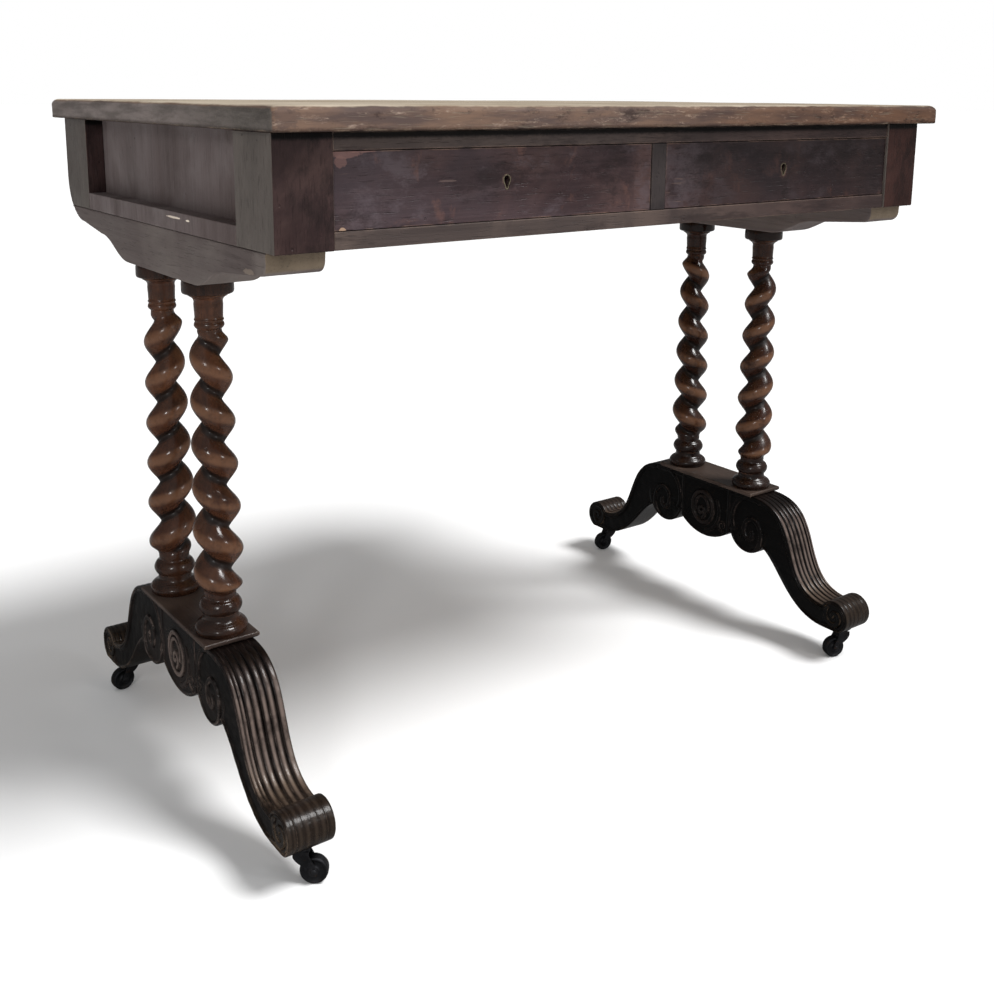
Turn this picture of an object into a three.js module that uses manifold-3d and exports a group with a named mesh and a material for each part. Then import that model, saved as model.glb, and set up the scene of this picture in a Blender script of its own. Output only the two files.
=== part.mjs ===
// Writing table with two frieze drawers, on two end supports. Each support has a pair of
// barley twist columns between a shaped apron and a base with two reeded scroll legs on castors.
// Millimetres, +Z up. The origin is on the floor under the middle of the top. X runs along the
// table to the right, and the drawers open towards -Y.

import * as THREE from 'three';
import { mergeVertices } from 'three/addons/utils/BufferGeometryUtils.js';
import Module from 'manifold-3d';

const wasm = await Module();
wasm.setup();

// Top
const tableHeight = 740;
const topLength = 892;
const topDepth = 594;
const topThickness = 22;
const topEdgeRadius = 7;
const topCornerRadius = 4;
const topEdgeSteps = 4;
const topCornerSteps = 2;

// Carcase under the top
const topEndOverhang = 9;
const topSideOverhang = 20.5;
const friezeHeight = 101.5;
const endThickness = 57;
const postDepth = 75.5;
const endRailHeight = 18.5;
const panelRecess = 20;
const panelThickness = 10;
const tongue = 5;
const tenonLength = 12;
const tenonShoulder = 3.5;
const jointGap = 0.3;
const cutOverrun = 2;

// Front rails, back and the pieces that carry the drawers
const frontSetback = 2;
const topRailHeight = 16.5;
const bottomRailHeight = 16;
const railDepth = 48;
const muntinWidth = 20;
const muntinDepth = 30;
const backThickness = 16;
const runnerWidth = 28;
const runnerHeight = 14;
const guideHeight = 20;
const kickerWidth = 30;
const kickerHeight = 13;

// Shaped apron under each end, and the arc that rounds the lower rear corner of post and apron
const apronHeight = 48;
const apronSetback = 17.5;
const apronFrontFlat = 98;
const apronFrontSweepEnd = 172;
const apronFrontSweepRise = 21;
const apronFrontTipRise = 6;
const apronFrontRadius = 12;
const apronRearFlat = 84;
const apronRearSweepEnd = 165;
const apronRearSweepRise = 23;
const apronRearTipRise = 8.5;
const endRearRadius = 50;
const apronBendShare = 0.4;

// Drawers
const drawerGap = 0.8;
const drawerFaceSetback = 1.2;
const drawerFrontThickness = 20;
const drawerRearSpace = 41.8;
const drawerSideThickness = 10;
const drawerSideDrop = 3;
const drawerBackThickness = 10;
const drawerBackDrop = 6;
const drawerBottomThickness = 6;
const drawerBottomRaise = 6;
const drawerRunGap = 0.3;
const dovetailCount = 3;
const dovetailLap = 6;
const dovetailFlare = 3;
const dovetailRootShare = 0.25;

// Drawer locks and keyholes
const keyholeDrop = 32;
const keyholeRadius = 5;
const keyholeTipRadius = 2;
const keyholeHeight = 15;
const escutcheonWall = 1.4;
const escutcheonDepth = 2;
const lockWidth = 52;
const lockHeight = 40;
const lockThickness = 11;
const lockPlateThickness = 2;
const boltWidth = 18;
const boltThickness = 5;
const boltLength = 20;
const boltTravel = 7;

// Columns
const columnInset = 28.5;
const columnSpacing = 128;
const columnSides = 9;
const columnTenonRadius = 11;
const columnTenonLength = 18;
const columnFootRadius = 27.5;
const columnFootHeight = 42;
const columnHeadRadius = 25.8;
const columnHeadHeight = 52;
const neckRadiusLow = 16.5;
const neckRadiusHigh = 12.2;
const twistPitch = 45.6;
const twistFade = 13;
const ridgeRadiusLow = 26.7;
const ridgeRadiusHigh = 20.2;
const grooveRadiusLow = 12.9;
const grooveRadiusHigh = 8.4;
const ridgeRoundness = 1.35;
const beadBulgeShare = 0.24;
const coveDepthShare = 0.26;

// Base of each end: a slab on a centre block and two legs
const baseHeight = 194.7;
const slabThickness = 6;
const slabHalfLength = 92;
const slabWidth = 61;
const slabEdgeRadius = 2;
const legWidth = 50;
const centreHalfLength = 47.5;
const centreArcRadius = 72;
const centreDrop = 91.7;
const roundelRadius = 22;
const roundelDrop = 50;
const roundelProud = 2;
const kneeOut = 83;
const kneeDrop = 57.7;
const kneeRadius = 34;
const kneeBossRadius = 24;
const kneeNotchAngle = -32;
const kneeInnerAngle = -165;
const legShoulder = 93;
const rollOut = 241;
const rollLift = 20;
const rollRadius = 22;
const rollCreaseAngle = 150;
const seatBack = 16;
const reedCount = 4;
const reedRim = 5;
const reedGrooveHalf = 2.2;
const reedGrooveDepth = 2.6;
const reedCreaseDepth = 0.9;
const reedGrooveOver = 1;
const legCurveSteps = 6;
const rollCurveSteps = 8;
const kneeCurveSteps = 6;

// Castors
const castorHeight = 42;
const castorOut = 238;
const castorPlateRadius = 12;
const castorPlateThickness = 2.5;
const castorPegRadius = 4;
const castorPegLength = 16;
const castorPinRadius = 3.5;
const castorPinHeadRadius = 4.6;
const castorPinHeadHeight = 1.3;
const castorPinReach = 12;
const crownRadius = 8;
const crownHeight = 7;
const crownDrop = 1;
const forkCheek = 2;
const forkGap = 0.6;
const forkTrail = 12;
const axleRadius = 2;
const axleHeadRadius = 3.4;
const axleHeadHeight = 1.2;
const axleEyeRadius = 4.5;
const runningGap = 0.4;
const wheelRadius = 14;
const wheelWidth = 11;
const wheelEdgeRadius = 2;
const wheelDish = 1.8;
const wheelHubRadius = 5;
const bossSides = 12;
const wheelSides = 12;
const smallSides = 10;
const curveSteps = 5;
const smallCurveSteps = 3;

// Places worked out from the sizes above
const topUnderside = tableHeight - topThickness;
const friezeBottom = topUnderside - friezeHeight;
const frameTop = topUnderside - jointGap;
const endOuter = topLength / 2 - topEndOverhang;
const endInner = endOuter - endThickness;
const postFace = topDepth / 2 - topSideOverhang;
const postBack = postFace - postDepth;
const railFace = postFace - frontSetback;
const openingTop = topUnderside - topRailHeight;
const openingBottom = friezeBottom + bottomRailHeight;
const railBack = railFace - railDepth;
const backInner = railFace - backThickness;
const apronBottom = friezeBottom - apronHeight;
const columnX = endOuter - columnInset;
const columnY = columnSpacing / 2;
const blockTop = baseHeight - slabThickness - jointGap;
const columnHeight = apronBottom - baseHeight - 2 * jointGap;
const kneeHeight = baseHeight - kneeDrop;
const rollHeight = castorHeight + rollLift;
const endMiddle = (endInner + endOuter) / 2;
const rearTip = apronBottom + apronRearSweepRise + apronRearTipRise;
const rearArcOut = postFace - endRearRadius;
const rearArcHeight = rearTip + endRearRadius;

const degree = Math.PI / 180;

// A range holds the low and high corner of a box on each axis.
function range(x0, x1, y0, y1, z0, z1) {
  return { x: [Math.min(x0, x1), Math.max(x0, x1)], y: [Math.min(y0, y1), Math.max(y0, y1)],
    z: [Math.min(z0, z1), Math.max(z0, z1)] };
}

function grown(box, by) {
  return range(box.x[0] - by, box.x[1] + by, box.y[0] - by, box.y[1] + by,
    box.z[0] - by, box.z[1] + by);
}

// A tenon runs on past both ends of its rail along one axis, inside the rail's shoulders.
function tenonOf(box, axis) {
  const inner = grown(box, -tenonShoulder);
  inner[axis] = [box[axis][0] - tenonLength, box[axis][1] + tenonLength];
  return inner;
}

function block(box) {
  const size = (axis) => box[axis][1] - box[axis][0];
  const middle = (axis) => (box[axis][0] + box[axis][1]) / 2;
  const geometry = new THREE.BoxGeometry(size('x'), size('y'), size('z'));
  return geometry.translate(middle('x'), middle('y'), middle('z'));
}

function toSolid(geometry) {
  const bare = geometry.clone();
  bare.deleteAttribute('normal');
  bare.deleteAttribute('uv');
  const merged = mergeVertices(bare);
  return new wasm.Manifold(new wasm.Mesh({ numProp: 3,
    vertProperties: new Float32Array(merged.attributes.position.array),
    triVerts: new Uint32Array(merged.index.array) }));
}

function toGeometry(solid) {
  const mesh = solid.getMesh();
  const geometry = new THREE.BufferGeometry();
  geometry.setAttribute('position', new THREE.BufferAttribute(new Float32Array(mesh.vertProperties), 3));
  geometry.setIndex(new THREE.BufferAttribute(new Uint32Array(mesh.triVerts), 1));
  geometry.computeVertexNormals();
  return geometry;
}

// Joins the first list of shapes and cuts the second list out of them.
function shaped(joined, cutters = []) {
  let solid = toSolid(joined[0]);
  for (const piece of joined.slice(1)) solid = solid.add(toSolid(piece));
  for (const cutter of cutters) solid = solid.subtract(toSolid(cutter));
  return toGeometry(solid);
}

// Turns the faces round where a shape was mirrored or wound the wrong way.
function facedOut(geometry) {
  const place = geometry.attributes.position;
  const index = geometry.index;
  const a = new THREE.Vector3();
  const b = new THREE.Vector3();
  const c = new THREE.Vector3();
  let volume = 0;
  for (let i = 0; i < index.count; i += 3) {
    a.fromBufferAttribute(place, index.getX(i));
    b.fromBufferAttribute(place, index.getX(i + 1));
    c.fromBufferAttribute(place, index.getX(i + 2));
    volume += a.dot(b.cross(c));
  }
  if (volume < 0) {
    for (let i = 0; i < index.count; i += 3) {
      const second = index.getX(i + 1);
      index.setX(i + 1, index.getX(i + 2));
      index.setX(i + 2, second);
    }
  }
  return geometry;
}

function mirrored(geometry, x, y) {
  const copy = geometry.clone();
  copy.scale(x, y, 1);
  return facedOut(copy);
}

// A closed skin over rings of points: each ring joins the next, and a fan closes each end.
function loft(rings) {
  const count = rings[0].length;
  const places = rings.flat().flatMap((point) => [point.x, point.y, point.z]);
  const index = [];
  for (let ring = 0; ring < rings.length - 1; ring += 1) {
    for (let i = 0; i < count; i += 1) {
      const here = ring * count + i;
      const next = ring * count + ((i + 1) % count);
      index.push(here, next, next + count, here, next + count, here + count);
    }
  }
  const last = (rings.length - 1) * count;
  for (let i = 1; i < count - 1; i += 1) {
    index.push(0, i + 1, i, last, last + i, last + i + 1);
  }
  const geometry = new THREE.BufferGeometry();
  geometry.setAttribute('position', new THREE.BufferAttribute(new Float32Array(places), 3));
  geometry.setIndex(index);
  return facedOut(geometry);
}

function cylinder(radius, z0, z1, x, y, sides = smallSides) {
  const geometry = new THREE.CylinderGeometry(radius, radius, z1 - z0, sides);
  return geometry.rotateX(Math.PI / 2).translate(x, y, (z0 + z1) / 2);
}

// Extrudes an outline drawn in the Y and Z plane along X, centred on X = 0.
function alongX(outline, width, steps) {
  const geometry = new THREE.ExtrudeGeometry(outline,
    { depth: width, bevelEnabled: false, curveSegments: steps });
  geometry.translate(0, 0, -width / 2);
  return geometry.applyMatrix4(new THREE.Matrix4().makeBasis(
    new THREE.Vector3(0, 1, 0), new THREE.Vector3(0, 0, 1), new THREE.Vector3(1, 0, 0)));
}

// Extrudes an outline drawn in the X and Z plane from the front face y0 back to y1.
function alongY(outline, y0, y1, steps) {
  const geometry = new THREE.ExtrudeGeometry(outline,
    { depth: y1 - y0, bevelEnabled: false, curveSegments: steps });
  return geometry.rotateX(Math.PI / 2).translate(0, y1, 0);
}

// Materials
function wood(color, roughness) {
  return () => new THREE.MeshStandardMaterial({ color, roughness, metalness: 0 });
}
const topWood = wood(0x7a5a40, 0.7);
const caseWood = wood(0x3a2620, 0.5);
const drawerWood = wood(0x3c211d, 0.4);
const insideWood = wood(0x8a6a4a, 0.8);
const columnWood = wood(0x4a281c, 0.3);
const baseWood = wood(0x241a16, 0.4);
const iron = () => new THREE.MeshStandardMaterial({ color: 0x1c1c1e, roughness: 0.5, metalness: 0.8 });
const brass = () => new THREE.MeshStandardMaterial({ color: 0x9a7b45, roughness: 0.4, metalness: 0.9 });

const table = new THREE.Group();

function add(name, geometry, material, parent = table) {
  const mesh = new THREE.Mesh(geometry, material());
  mesh.name = name;
  parent.add(mesh);
  return mesh;
}

// Top board with a quarter round along its upper edge
function topBoard() {
  const rings = [];
  const ringAt = (inset, z) => {
    const ring = [];
    const corners = [[1, 1], [-1, 1], [-1, -1], [1, -1]];
    corners.forEach(([sx, sy], corner) => {
      for (let i = 0; i <= topCornerSteps; i += 1) {
        const angle = (corner + i / topCornerSteps) * Math.PI / 2;
        ring.push(new THREE.Vector3(
          sx * (topLength / 2 - inset - topCornerRadius) + topCornerRadius * Math.cos(angle),
          sy * (topDepth / 2 - inset - topCornerRadius) + topCornerRadius * Math.sin(angle), z));
      }
    });
    return ring;
  };
  rings.push(ringAt(0, topUnderside));
  for (let i = 0; i <= topEdgeSteps; i += 1) {
    const angle = (i / topEdgeSteps) * Math.PI / 2;
    rings.push(ringAt(topEdgeRadius * (1 - Math.cos(angle)),
      tableHeight - topEdgeRadius * (1 - Math.sin(angle))));
  }
  return loft(rings);
}

// Ranges of the carcase boards. The right end is given, and side mirrors it to the left.
function endPanelRange(side) {
  const outer = endOuter - panelRecess;
  return range(side * (outer - panelThickness), side * outer, -postBack - tongue, postBack + tongue,
    friezeBottom + endRailHeight - tongue, frameTop);
}

function endRailRange(side) {
  return range(side * endInner, side * endOuter, -postBack + jointGap, postBack - jointGap,
    friezeBottom, friezeBottom + endRailHeight);
}

const topRailRange = range(-endInner + jointGap, endInner - jointGap, -railFace, -railBack,
  openingTop, frameTop);
const bottomRailRange = range(-endInner + jointGap, endInner - jointGap, -railFace, -railBack,
  friezeBottom, openingBottom);
const muntinRange = range(-muntinWidth / 2, muntinWidth / 2, -railFace, -railFace + muntinDepth,
  openingBottom + jointGap, openingTop - jointGap);
const backRange = range(-endInner - tongue, endInner + tongue, backInner, railFace,
  friezeBottom, frameTop);

// The waste outside the arc that rounds an end's lower rear corner
function rearCornerWaste(side, width) {
  const outline = new THREE.Shape();
  outline.moveTo(postFace + cutOverrun, rearArcHeight);
  outline.absarc(rearArcOut, rearArcHeight, endRearRadius, 0, -Math.PI / 2, true);
  outline.lineTo(rearArcOut, rearTip - cutOverrun);
  outline.lineTo(postFace + cutOverrun, rearTip - cutOverrun);
  return alongX(outline, width, curveSteps).translate(side * endMiddle, 0, 0);
}

function endPost(side, front) {
  const post = range(side * endInner, side * endOuter, front * postBack, front * postFace,
    friezeBottom, frameTop);
  const mortises = [endPanelRange(side), tenonOf(endRailRange(side), 'y')];
  if (front < 0) mortises.push(tenonOf(topRailRange, 'x'), tenonOf(bottomRailRange, 'x'));
  else mortises.push(backRange);
  const cutters = mortises.map((mortise) => block(grown(mortise, jointGap)));
  if (front > 0) cutters.push(rearCornerWaste(side, endThickness + 2 * cutOverrun));
  return shaped([block(post)], cutters);
}

function endRail(side) {
  const rail = endRailRange(side);
  return shaped([block(rail), block(tenonOf(rail, 'y'))], [block(grown(endPanelRange(side), jointGap))]);
}

// An S from the level middle of the apron up to where an end begins, or back down to the middle
function sweepTo(outline, startY, startZ, endY, endZ) {
  const bend = (endY - startY) * apronBendShare;
  outline.bezierCurveTo(startY + bend, startZ, endY - bend, endZ, endY, endZ);
}

// Apron: level in the middle, with a long S up to each end. The front stands back from the post
// and has a small round, and the rear runs on into the arc of the post's corner.
function apron(side) {
  const reach = postFace - apronSetback;
  const top = friezeBottom - jointGap;
  const frontSweepTop = apronBottom + apronFrontSweepRise;
  const frontTip = frontSweepTop + apronFrontTipRise;
  const rearSweepTop = apronBottom + apronRearSweepRise;
  const outline = new THREE.Shape();
  outline.moveTo(-apronFrontFlat, apronBottom);
  outline.lineTo(apronRearFlat, apronBottom);
  sweepTo(outline, apronRearFlat, apronBottom, apronRearSweepEnd, rearSweepTop);
  outline.lineTo(rearArcOut, rearTip);
  outline.absarc(rearArcOut, rearArcHeight, endRearRadius, -Math.PI / 2,
    -Math.asin((rearArcHeight - top) / endRearRadius), false);
  outline.lineTo(-reach, top);
  outline.absarc(apronFrontRadius - reach, frontTip + apronFrontRadius, apronFrontRadius,
    Math.PI, Math.PI * 3 / 2, false);
  outline.lineTo(-apronFrontSweepEnd, frontSweepTop);
  sweepTo(outline, -apronFrontSweepEnd, frontSweepTop, -apronFrontFlat, apronBottom);
  const body = alongX(outline, endThickness, curveSteps);
  body.translate(side * endMiddle, 0, 0);
  const sockets = [-1, 1].map((y) => columnSocket(side, y, apronBottom));
  return shaped([body], sockets);
}

// The round hole that takes a column's tenon, from level z upwards or downwards
function columnSocket(side, front, z) {
  const depth = columnTenonLength + jointGap;
  const rings = [z - depth, z + depth].map((level) => circleRing(columnTenonRadius + jointGap, level));
  return loft(rings).translate(side * columnX, front * columnY, 0);
}

// Pieces that carry a drawer from below and stop it from tipping
function runner(centre, width) {
  return block(range(centre - width / 2, centre + width / 2, -railBack + jointGap, backInner - jointGap,
    openingBottom - runnerHeight, openingBottom));
}

function centreRunner() {
  const guideHalf = muntinWidth / 2 - jointGap;
  const guide = range(-guideHalf, guideHalf, -railBack + jointGap, backInner - jointGap,
    openingBottom - runnerHeight, openingBottom + guideHeight);
  return shaped([runner(0, muntinWidth + runnerWidth), block(guide)]);
}

function kicker(centre) {
  return block(range(centre - kickerWidth / 2, centre + kickerWidth / 2, -railBack + jointGap,
    backInner - jointGap, frameTop - kickerHeight, frameTop));
}

function buildCarcase() {
  add('top_board', topBoard(), topWood);
  for (const [word, side] of [['left', -1], ['right', 1]]) {
    add(`${word}_front_post`, endPost(side, -1), caseWood);
    add(`${word}_rear_post`, endPost(side, 1), caseWood);
    add(`${word}_end_panel`, block(endPanelRange(side)), caseWood);
    add(`${word}_end_rail`, endRail(side), caseWood);
    add(`${word}_apron`, apron(side), caseWood);
    add(`${word}_runner`, runner(side * (endInner - jointGap - runnerWidth / 2), runnerWidth), insideWood);
    add(`${word}_kicker`, kicker(side * (endInner + muntinWidth / 2) / 2), insideWood);
  }
  add('centre_runner', centreRunner(), insideWood);
  const muntinTenon = tenonOf(muntinRange, 'z');
  const mortise = block(grown(muntinTenon, jointGap));
  const strikes = [-1, 1].map((side) => block(grown(boltRange(side, boltTravel), jointGap)));
  add('front_top_rail', shaped([block(topRailRange), block(tenonOf(topRailRange, 'x'))],
    [mortise, ...strikes]), caseWood);
  add('front_bottom_rail', shaped([block(bottomRailRange), block(tenonOf(bottomRailRange, 'x'))],
    [mortise]), caseWood);
  add('front_muntin', shaped([block(muntinRange), block(muntinTenon)]), caseWood);
  add('back_board', shaped([block(backRange)],
    [-1, 1].map((side) => rearCornerWaste(side, endThickness))), insideWood);
}

// Ranges of one drawer's boards, for the drawer on the given side of the muntin
const drawerCentre = (endInner + muntinWidth / 2) / 2;
const drawerHalf = (endInner - muntinWidth / 2) / 2 - drawerGap;
const drawerFace = railFace - drawerFaceSetback;
const drawerFrontBack = drawerFace - drawerFrontThickness;
const drawerBottom = openingBottom + drawerRunGap;
const drawerRear = backInner - drawerRearSpace;

function drawerFrontRange(side) {
  return range(side * drawerCentre - drawerHalf, side * drawerCentre + drawerHalf,
    -drawerFace, -drawerFrontBack, openingBottom + drawerGap, openingTop - drawerGap);
}

function drawerBaseRange(side) {
  const half = drawerHalf - drawerSideThickness + tongue;
  const z = drawerBottom + drawerBottomRaise;
  return range(side * drawerCentre - half, side * drawerCentre + half, -drawerFrontBack - tongue, drawerRear,
    z, z + drawerBottomThickness);
}

function boltRange(side, raise) {
  const top = openingTop - drawerGap - jointGap + raise;
  const y = -drawerFrontBack - lockThickness / 2;
  return range(side * drawerCentre - boltWidth / 2, side * drawerCentre + boltWidth / 2,
    y - boltThickness / 2, y + boltThickness / 2, top - boltLength, top);
}

function lockRange(side) {
  const top = openingTop - drawerGap - jointGap;
  return range(side * drawerCentre - lockWidth / 2, side * drawerCentre + lockWidth / 2,
    -drawerFrontBack - lockThickness, -drawerFrontBack, top - lockHeight, top);
}

// Half blind dovetails: tails on a drawer side that flare towards its end inside the front
function dovetails(sideX0, sideX1, growth) {
  const z0 = drawerBottom + drawerBottomRaise + drawerBottomThickness + tongue;
  const z1 = openingTop - drawerGap - drawerSideDrop;
  const pitch = (z1 - z0) / dovetailCount;
  const root = -drawerFrontBack + jointGap;
  const tip = -drawerFace + dovetailLap - growth;
  const tails = [];
  for (let i = 0; i < dovetailCount; i += 1) {
    const middle = z0 + pitch * (i + 1 / 2);
    const narrow = pitch * dovetailRootShare + growth;
    const wide = narrow + dovetailFlare;
    const half = (y) => narrow + (wide - narrow) * (root - y) / (root - tip);
    const corners = [[root + growth, -1], [root + growth, 1], [tip, 1], [tip, -1]];
    tails.push(loft([sideX0 - growth, sideX1 + growth].map((x) =>
      corners.map(([y, up]) => new THREE.Vector3(x, y, middle + up * half(y))))));
  }
  return tails;
}

// Pear shaped keyhole outline, shrunk by the wall where the metal rim lies inside it
function keyholeOutline(x, z, shrink) {
  const big = keyholeRadius - shrink;
  const small = keyholeTipRadius - shrink;
  const top = z + keyholeHeight / 2 - keyholeRadius;
  const tip = z - keyholeHeight / 2 + keyholeTipRadius;
  const lean = Math.asin((big - small) / (top - tip));
  const outline = new THREE.Shape();
  outline.absarc(x, top, big, -lean, Math.PI + lean, false);
  outline.absarc(x, tip, small, Math.PI + lean, 2 * Math.PI - lean, false);
  return outline;
}

function buildDrawer(word, side) {
  const group = new THREE.Group();
  table.add(group);
  const x = side * drawerCentre;
  const front = drawerFrontRange(side);
  const base = drawerBaseRange(side);
  const lock = lockRange(side);
  const keyZ = openingTop - drawerGap - keyholeDrop;
  const sideTop = openingTop - drawerGap - drawerSideDrop;
  const sideInner = drawerHalf - drawerSideThickness;
  const sideRanges = [-1, 1].map((hand) => range(x + hand * sideInner, x + hand * drawerHalf,
    -drawerFrontBack + jointGap, drawerRear, drawerBottom, sideTop));
  const backBoard = range(x - sideInner + jointGap, x + sideInner - jointGap,
    drawerRear - drawerBackThickness, drawerRear, base.z[1] + jointGap, sideTop - drawerBackDrop);
  const backTenon = range(x - sideInner - tongue, x + sideInner + tongue, backBoard.y[0] + jointGap,
    backBoard.y[1] - 2 * jointGap, backBoard.z[0] + tongue, backBoard.z[1] - tongue);
  const bodyCuts = [block(grown(base, jointGap)), block(grown(lock, jointGap)),
    alongY(keyholeOutline(x, keyZ, 0), -drawerFace - cutOverrun, -drawerFace + escutcheonDepth,
      smallCurveSteps),
    alongY(keyholeOutline(x, keyZ, escutcheonWall), -drawerFace - cutOverrun,
      -drawerFrontBack + cutOverrun, smallCurveSteps)];
  for (const one of sideRanges) bodyCuts.push(...dovetails(one.x[0], one.x[1], jointGap));
  add(`${word}_drawer_front`, shaped([block(front)], bodyCuts), drawerWood, group);
  sideRanges.forEach((one, i) => {
    const tails = dovetails(one.x[0], one.x[1], 0);
    const cuts = [block(grown(base, jointGap)), block(grown(backTenon, jointGap))];
    add(`${word}_drawer_side_${i + 1}`, shaped([block(one), ...tails], cuts), insideWood, group);
  });
  add(`${word}_drawer_back`, shaped([block(backBoard), block(backTenon)]), insideWood, group);
  add(`${word}_drawer_base`, block(base), insideWood, group);
  buildLock(word, side, lock, x, keyZ, group);
}

// Inset keyhole rim, lock case and the bolt that rises into the rail above
function buildLock(word, side, lock, x, keyZ, group) {
  const rimOutline = keyholeOutline(x, keyZ, jointGap);
  rimOutline.holes.push(keyholeOutline(x, keyZ, escutcheonWall));
  const rimBack = -drawerFace + escutcheonDepth - jointGap;
  add(`${word}_escutcheon`, alongY(rimOutline, -drawerFace, rimBack, smallCurveSteps), brass, group);
  const channel = grown(boltRange(side, 0), jointGap);
  channel.z = [boltRange(side, 0).z[0] - jointGap, lock.z[1] + cutOverrun];
  const key = alongY(keyholeOutline(x, keyZ, escutcheonWall), lock.y[0] - cutOverrun,
    lock.y[1] - lockPlateThickness, smallCurveSteps);
  add(`${word}_lock_case`, shaped([block(lock)], [block(channel), key]), iron, group);
  add(`${word}_lock_bolt`, block(boltRange(side, 0)), brass, group);
}

// Turned outline from rows of shares: the way to the point, its radius and its height
function turnedPoints(rows, radius, height, z0) {
  const points = [];
  rows.forEach(([way, radiusShare, heightShare], row) => {
    const end = new THREE.Vector2(radiusShare * radius, z0 + heightShare * height);
    if (row > 0 && way !== 'line') {
      const start = points[points.length - 1];
      const chord = end.clone().sub(start);
      const outward = new THREE.Vector2(chord.y, -chord.x).normalize();
      const bulge = chord.length() * (way === 'bead' ? beadBulgeShare : -coveDepthShare);
      for (const t of [1 / 3, 2 / 3]) {
        points.push(start.clone().addScaledVector(chord, t).addScaledVector(outward,
          bulge * Math.sin(Math.PI * t)));
      }
    }
    points.push(end);
  });
  return points;
}

const columnFootShares = [
  ['line', 0.9, 0], ['bead', 0.9, 0.22], ['line', 0.82, 0.27], ['cove', 0.66, 0.48],
  ['line', 0.72, 0.54], ['bead', 0.72, 0.84], ['line', 0.62, 0.89]];
const columnHeadShares = [
  ['line', 0.475, 0.03], ['bead', 0.575, 0.15], ['line', 0.55, 0.18], ['line', 0.575, 0.21],
  ['line', 0.555, 0.24], ['line', 0.565, 0.5], ['line', 0.6, 0.57], ['line', 0.7, 0.665],
  ['line', 0.86, 0.715], ['line', 1, 0.745], ['line', 1, 1]];

function circleRing(radius, z) {
  return Array.from({ length: columnSides }, (_, i) => {
    const angle = i / columnSides * 2 * Math.PI;
    return new THREE.Vector3(radius * Math.cos(angle), radius * Math.sin(angle), z);
  });
}

// One ring of the twisted shaft. A single ridge winds round it: the radius follows a power of the
// half angle's cosine from the ridge, which leaves a smooth valley opposite the ridge.
function twistRing(share, shaftBottom, shaftTop, ridgeAngle) {
  const z = THREE.MathUtils.lerp(shaftBottom, shaftTop, share);
  const turn = ridgeAngle + 2 * Math.PI * (z - (shaftBottom + shaftTop) / 2) / twistPitch;
  const fade = THREE.MathUtils.smoothstep(Math.min(z - shaftBottom, shaftTop - z), 0, twistFade);
  const ridge = THREE.MathUtils.lerp(ridgeRadiusLow, ridgeRadiusHigh, share);
  const groove = THREE.MathUtils.lerp(grooveRadiusLow, grooveRadiusHigh, share);
  const neck = THREE.MathUtils.lerp(neckRadiusLow, neckRadiusHigh, share);
  return Array.from({ length: columnSides }, (_, i) => {
    const angle = i / columnSides * 2 * Math.PI;
    const lobe = Math.abs(Math.cos((angle - turn) / 2)) ** ridgeRoundness;
    const radius = THREE.MathUtils.lerp(neck, groove + (ridge - groove) * lobe, fade);
    return new THREE.Vector3(radius * Math.cos(angle), radius * Math.sin(angle), z);
  });
}

// A column stands on z = 0. It is made climbing to the right, and mirrored to climb to the left.
function column(handed, ridgeAngle) {
  const shaftBottom = columnFootHeight;
  const shaftTop = columnHeight - columnHeadHeight;
  const steps = Math.round((shaftTop - shaftBottom) / twistPitch * columnSides);
  const rings = [circleRing(columnTenonRadius, -columnTenonLength), circleRing(columnTenonRadius, 0)];
  for (const point of turnedPoints(columnFootShares, columnFootRadius, columnFootHeight, 0)) {
    rings.push(circleRing(point.x, point.y));
  }
  for (let step = 1; step < steps; step += 1) {
    rings.push(twistRing(step / steps, shaftBottom, shaftTop, handed * ridgeAngle * degree));
  }
  for (const point of turnedPoints(columnHeadShares, columnHeadRadius, columnHeadHeight, shaftTop)) {
    rings.push(circleRing(point.x, point.y));
  }
  rings.push(circleRing(columnTenonRadius, columnHeight),
    circleRing(columnTenonRadius, columnHeight + columnTenonLength));
  return mirrored(loft(rings), 1, handed);
}

// Slab with a small round along its edges
function slab(side) {
  const halfX = slabWidth / 2;
  const bottom = baseHeight - slabThickness;
  const ringAt = (inset, z) => [[1, 1], [-1, 1], [-1, -1], [1, -1]].map(([sx, sy]) =>
    new THREE.Vector3(sx * (halfX - inset), sy * (slabHalfLength - inset), z));
  const body = loft([ringAt(slabEdgeRadius, bottom), ringAt(0, bottom + slabEdgeRadius),
    ringAt(0, baseHeight - slabEdgeRadius / 2), ringAt(slabEdgeRadius / 2, baseHeight)]);
  body.translate(side * columnX, 0, 0);
  return shaped([body], [-1, 1].map((y) => columnSocket(side, y, baseHeight)));
}

// Round boss that stands a little proud of both sides of a block or a knee
function sideBoss(radius, y, z) {
  const geometry = new THREE.CylinderGeometry(radius, radius, legWidth + 2 * roundelProud, bossSides);
  return geometry.rotateZ(Math.PI / 2).translate(0, y, z);
}

// Centre block: straight joints to the legs, and a round lobe hanging between them
function centreBlock(side) {
  const arcCentre = baseHeight - centreDrop + centreArcRadius;
  const half = Math.asin(centreHalfLength / centreArcRadius);
  const outline = new THREE.Shape();
  outline.moveTo(centreHalfLength, blockTop);
  outline.lineTo(-centreHalfLength, blockTop);
  outline.absarc(0, arcCentre, centreArcRadius, -Math.PI / 2 - half, -Math.PI / 2 + half, false);
  const body = alongX(outline, legWidth, curveSteps);
  return shaped([body, sideBoss(roundelRadius, 0, baseHeight - roundelDrop)]).translate(side * columnX, 0, 0);
}

// Leg outline: Y is the distance out from the middle of the base
const legTopCurveShares = [[0.7, 0], [0.38, 0.95]];
const legUnderCurveShares = [[0.545, 0], [0.735, 0.825]];

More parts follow.
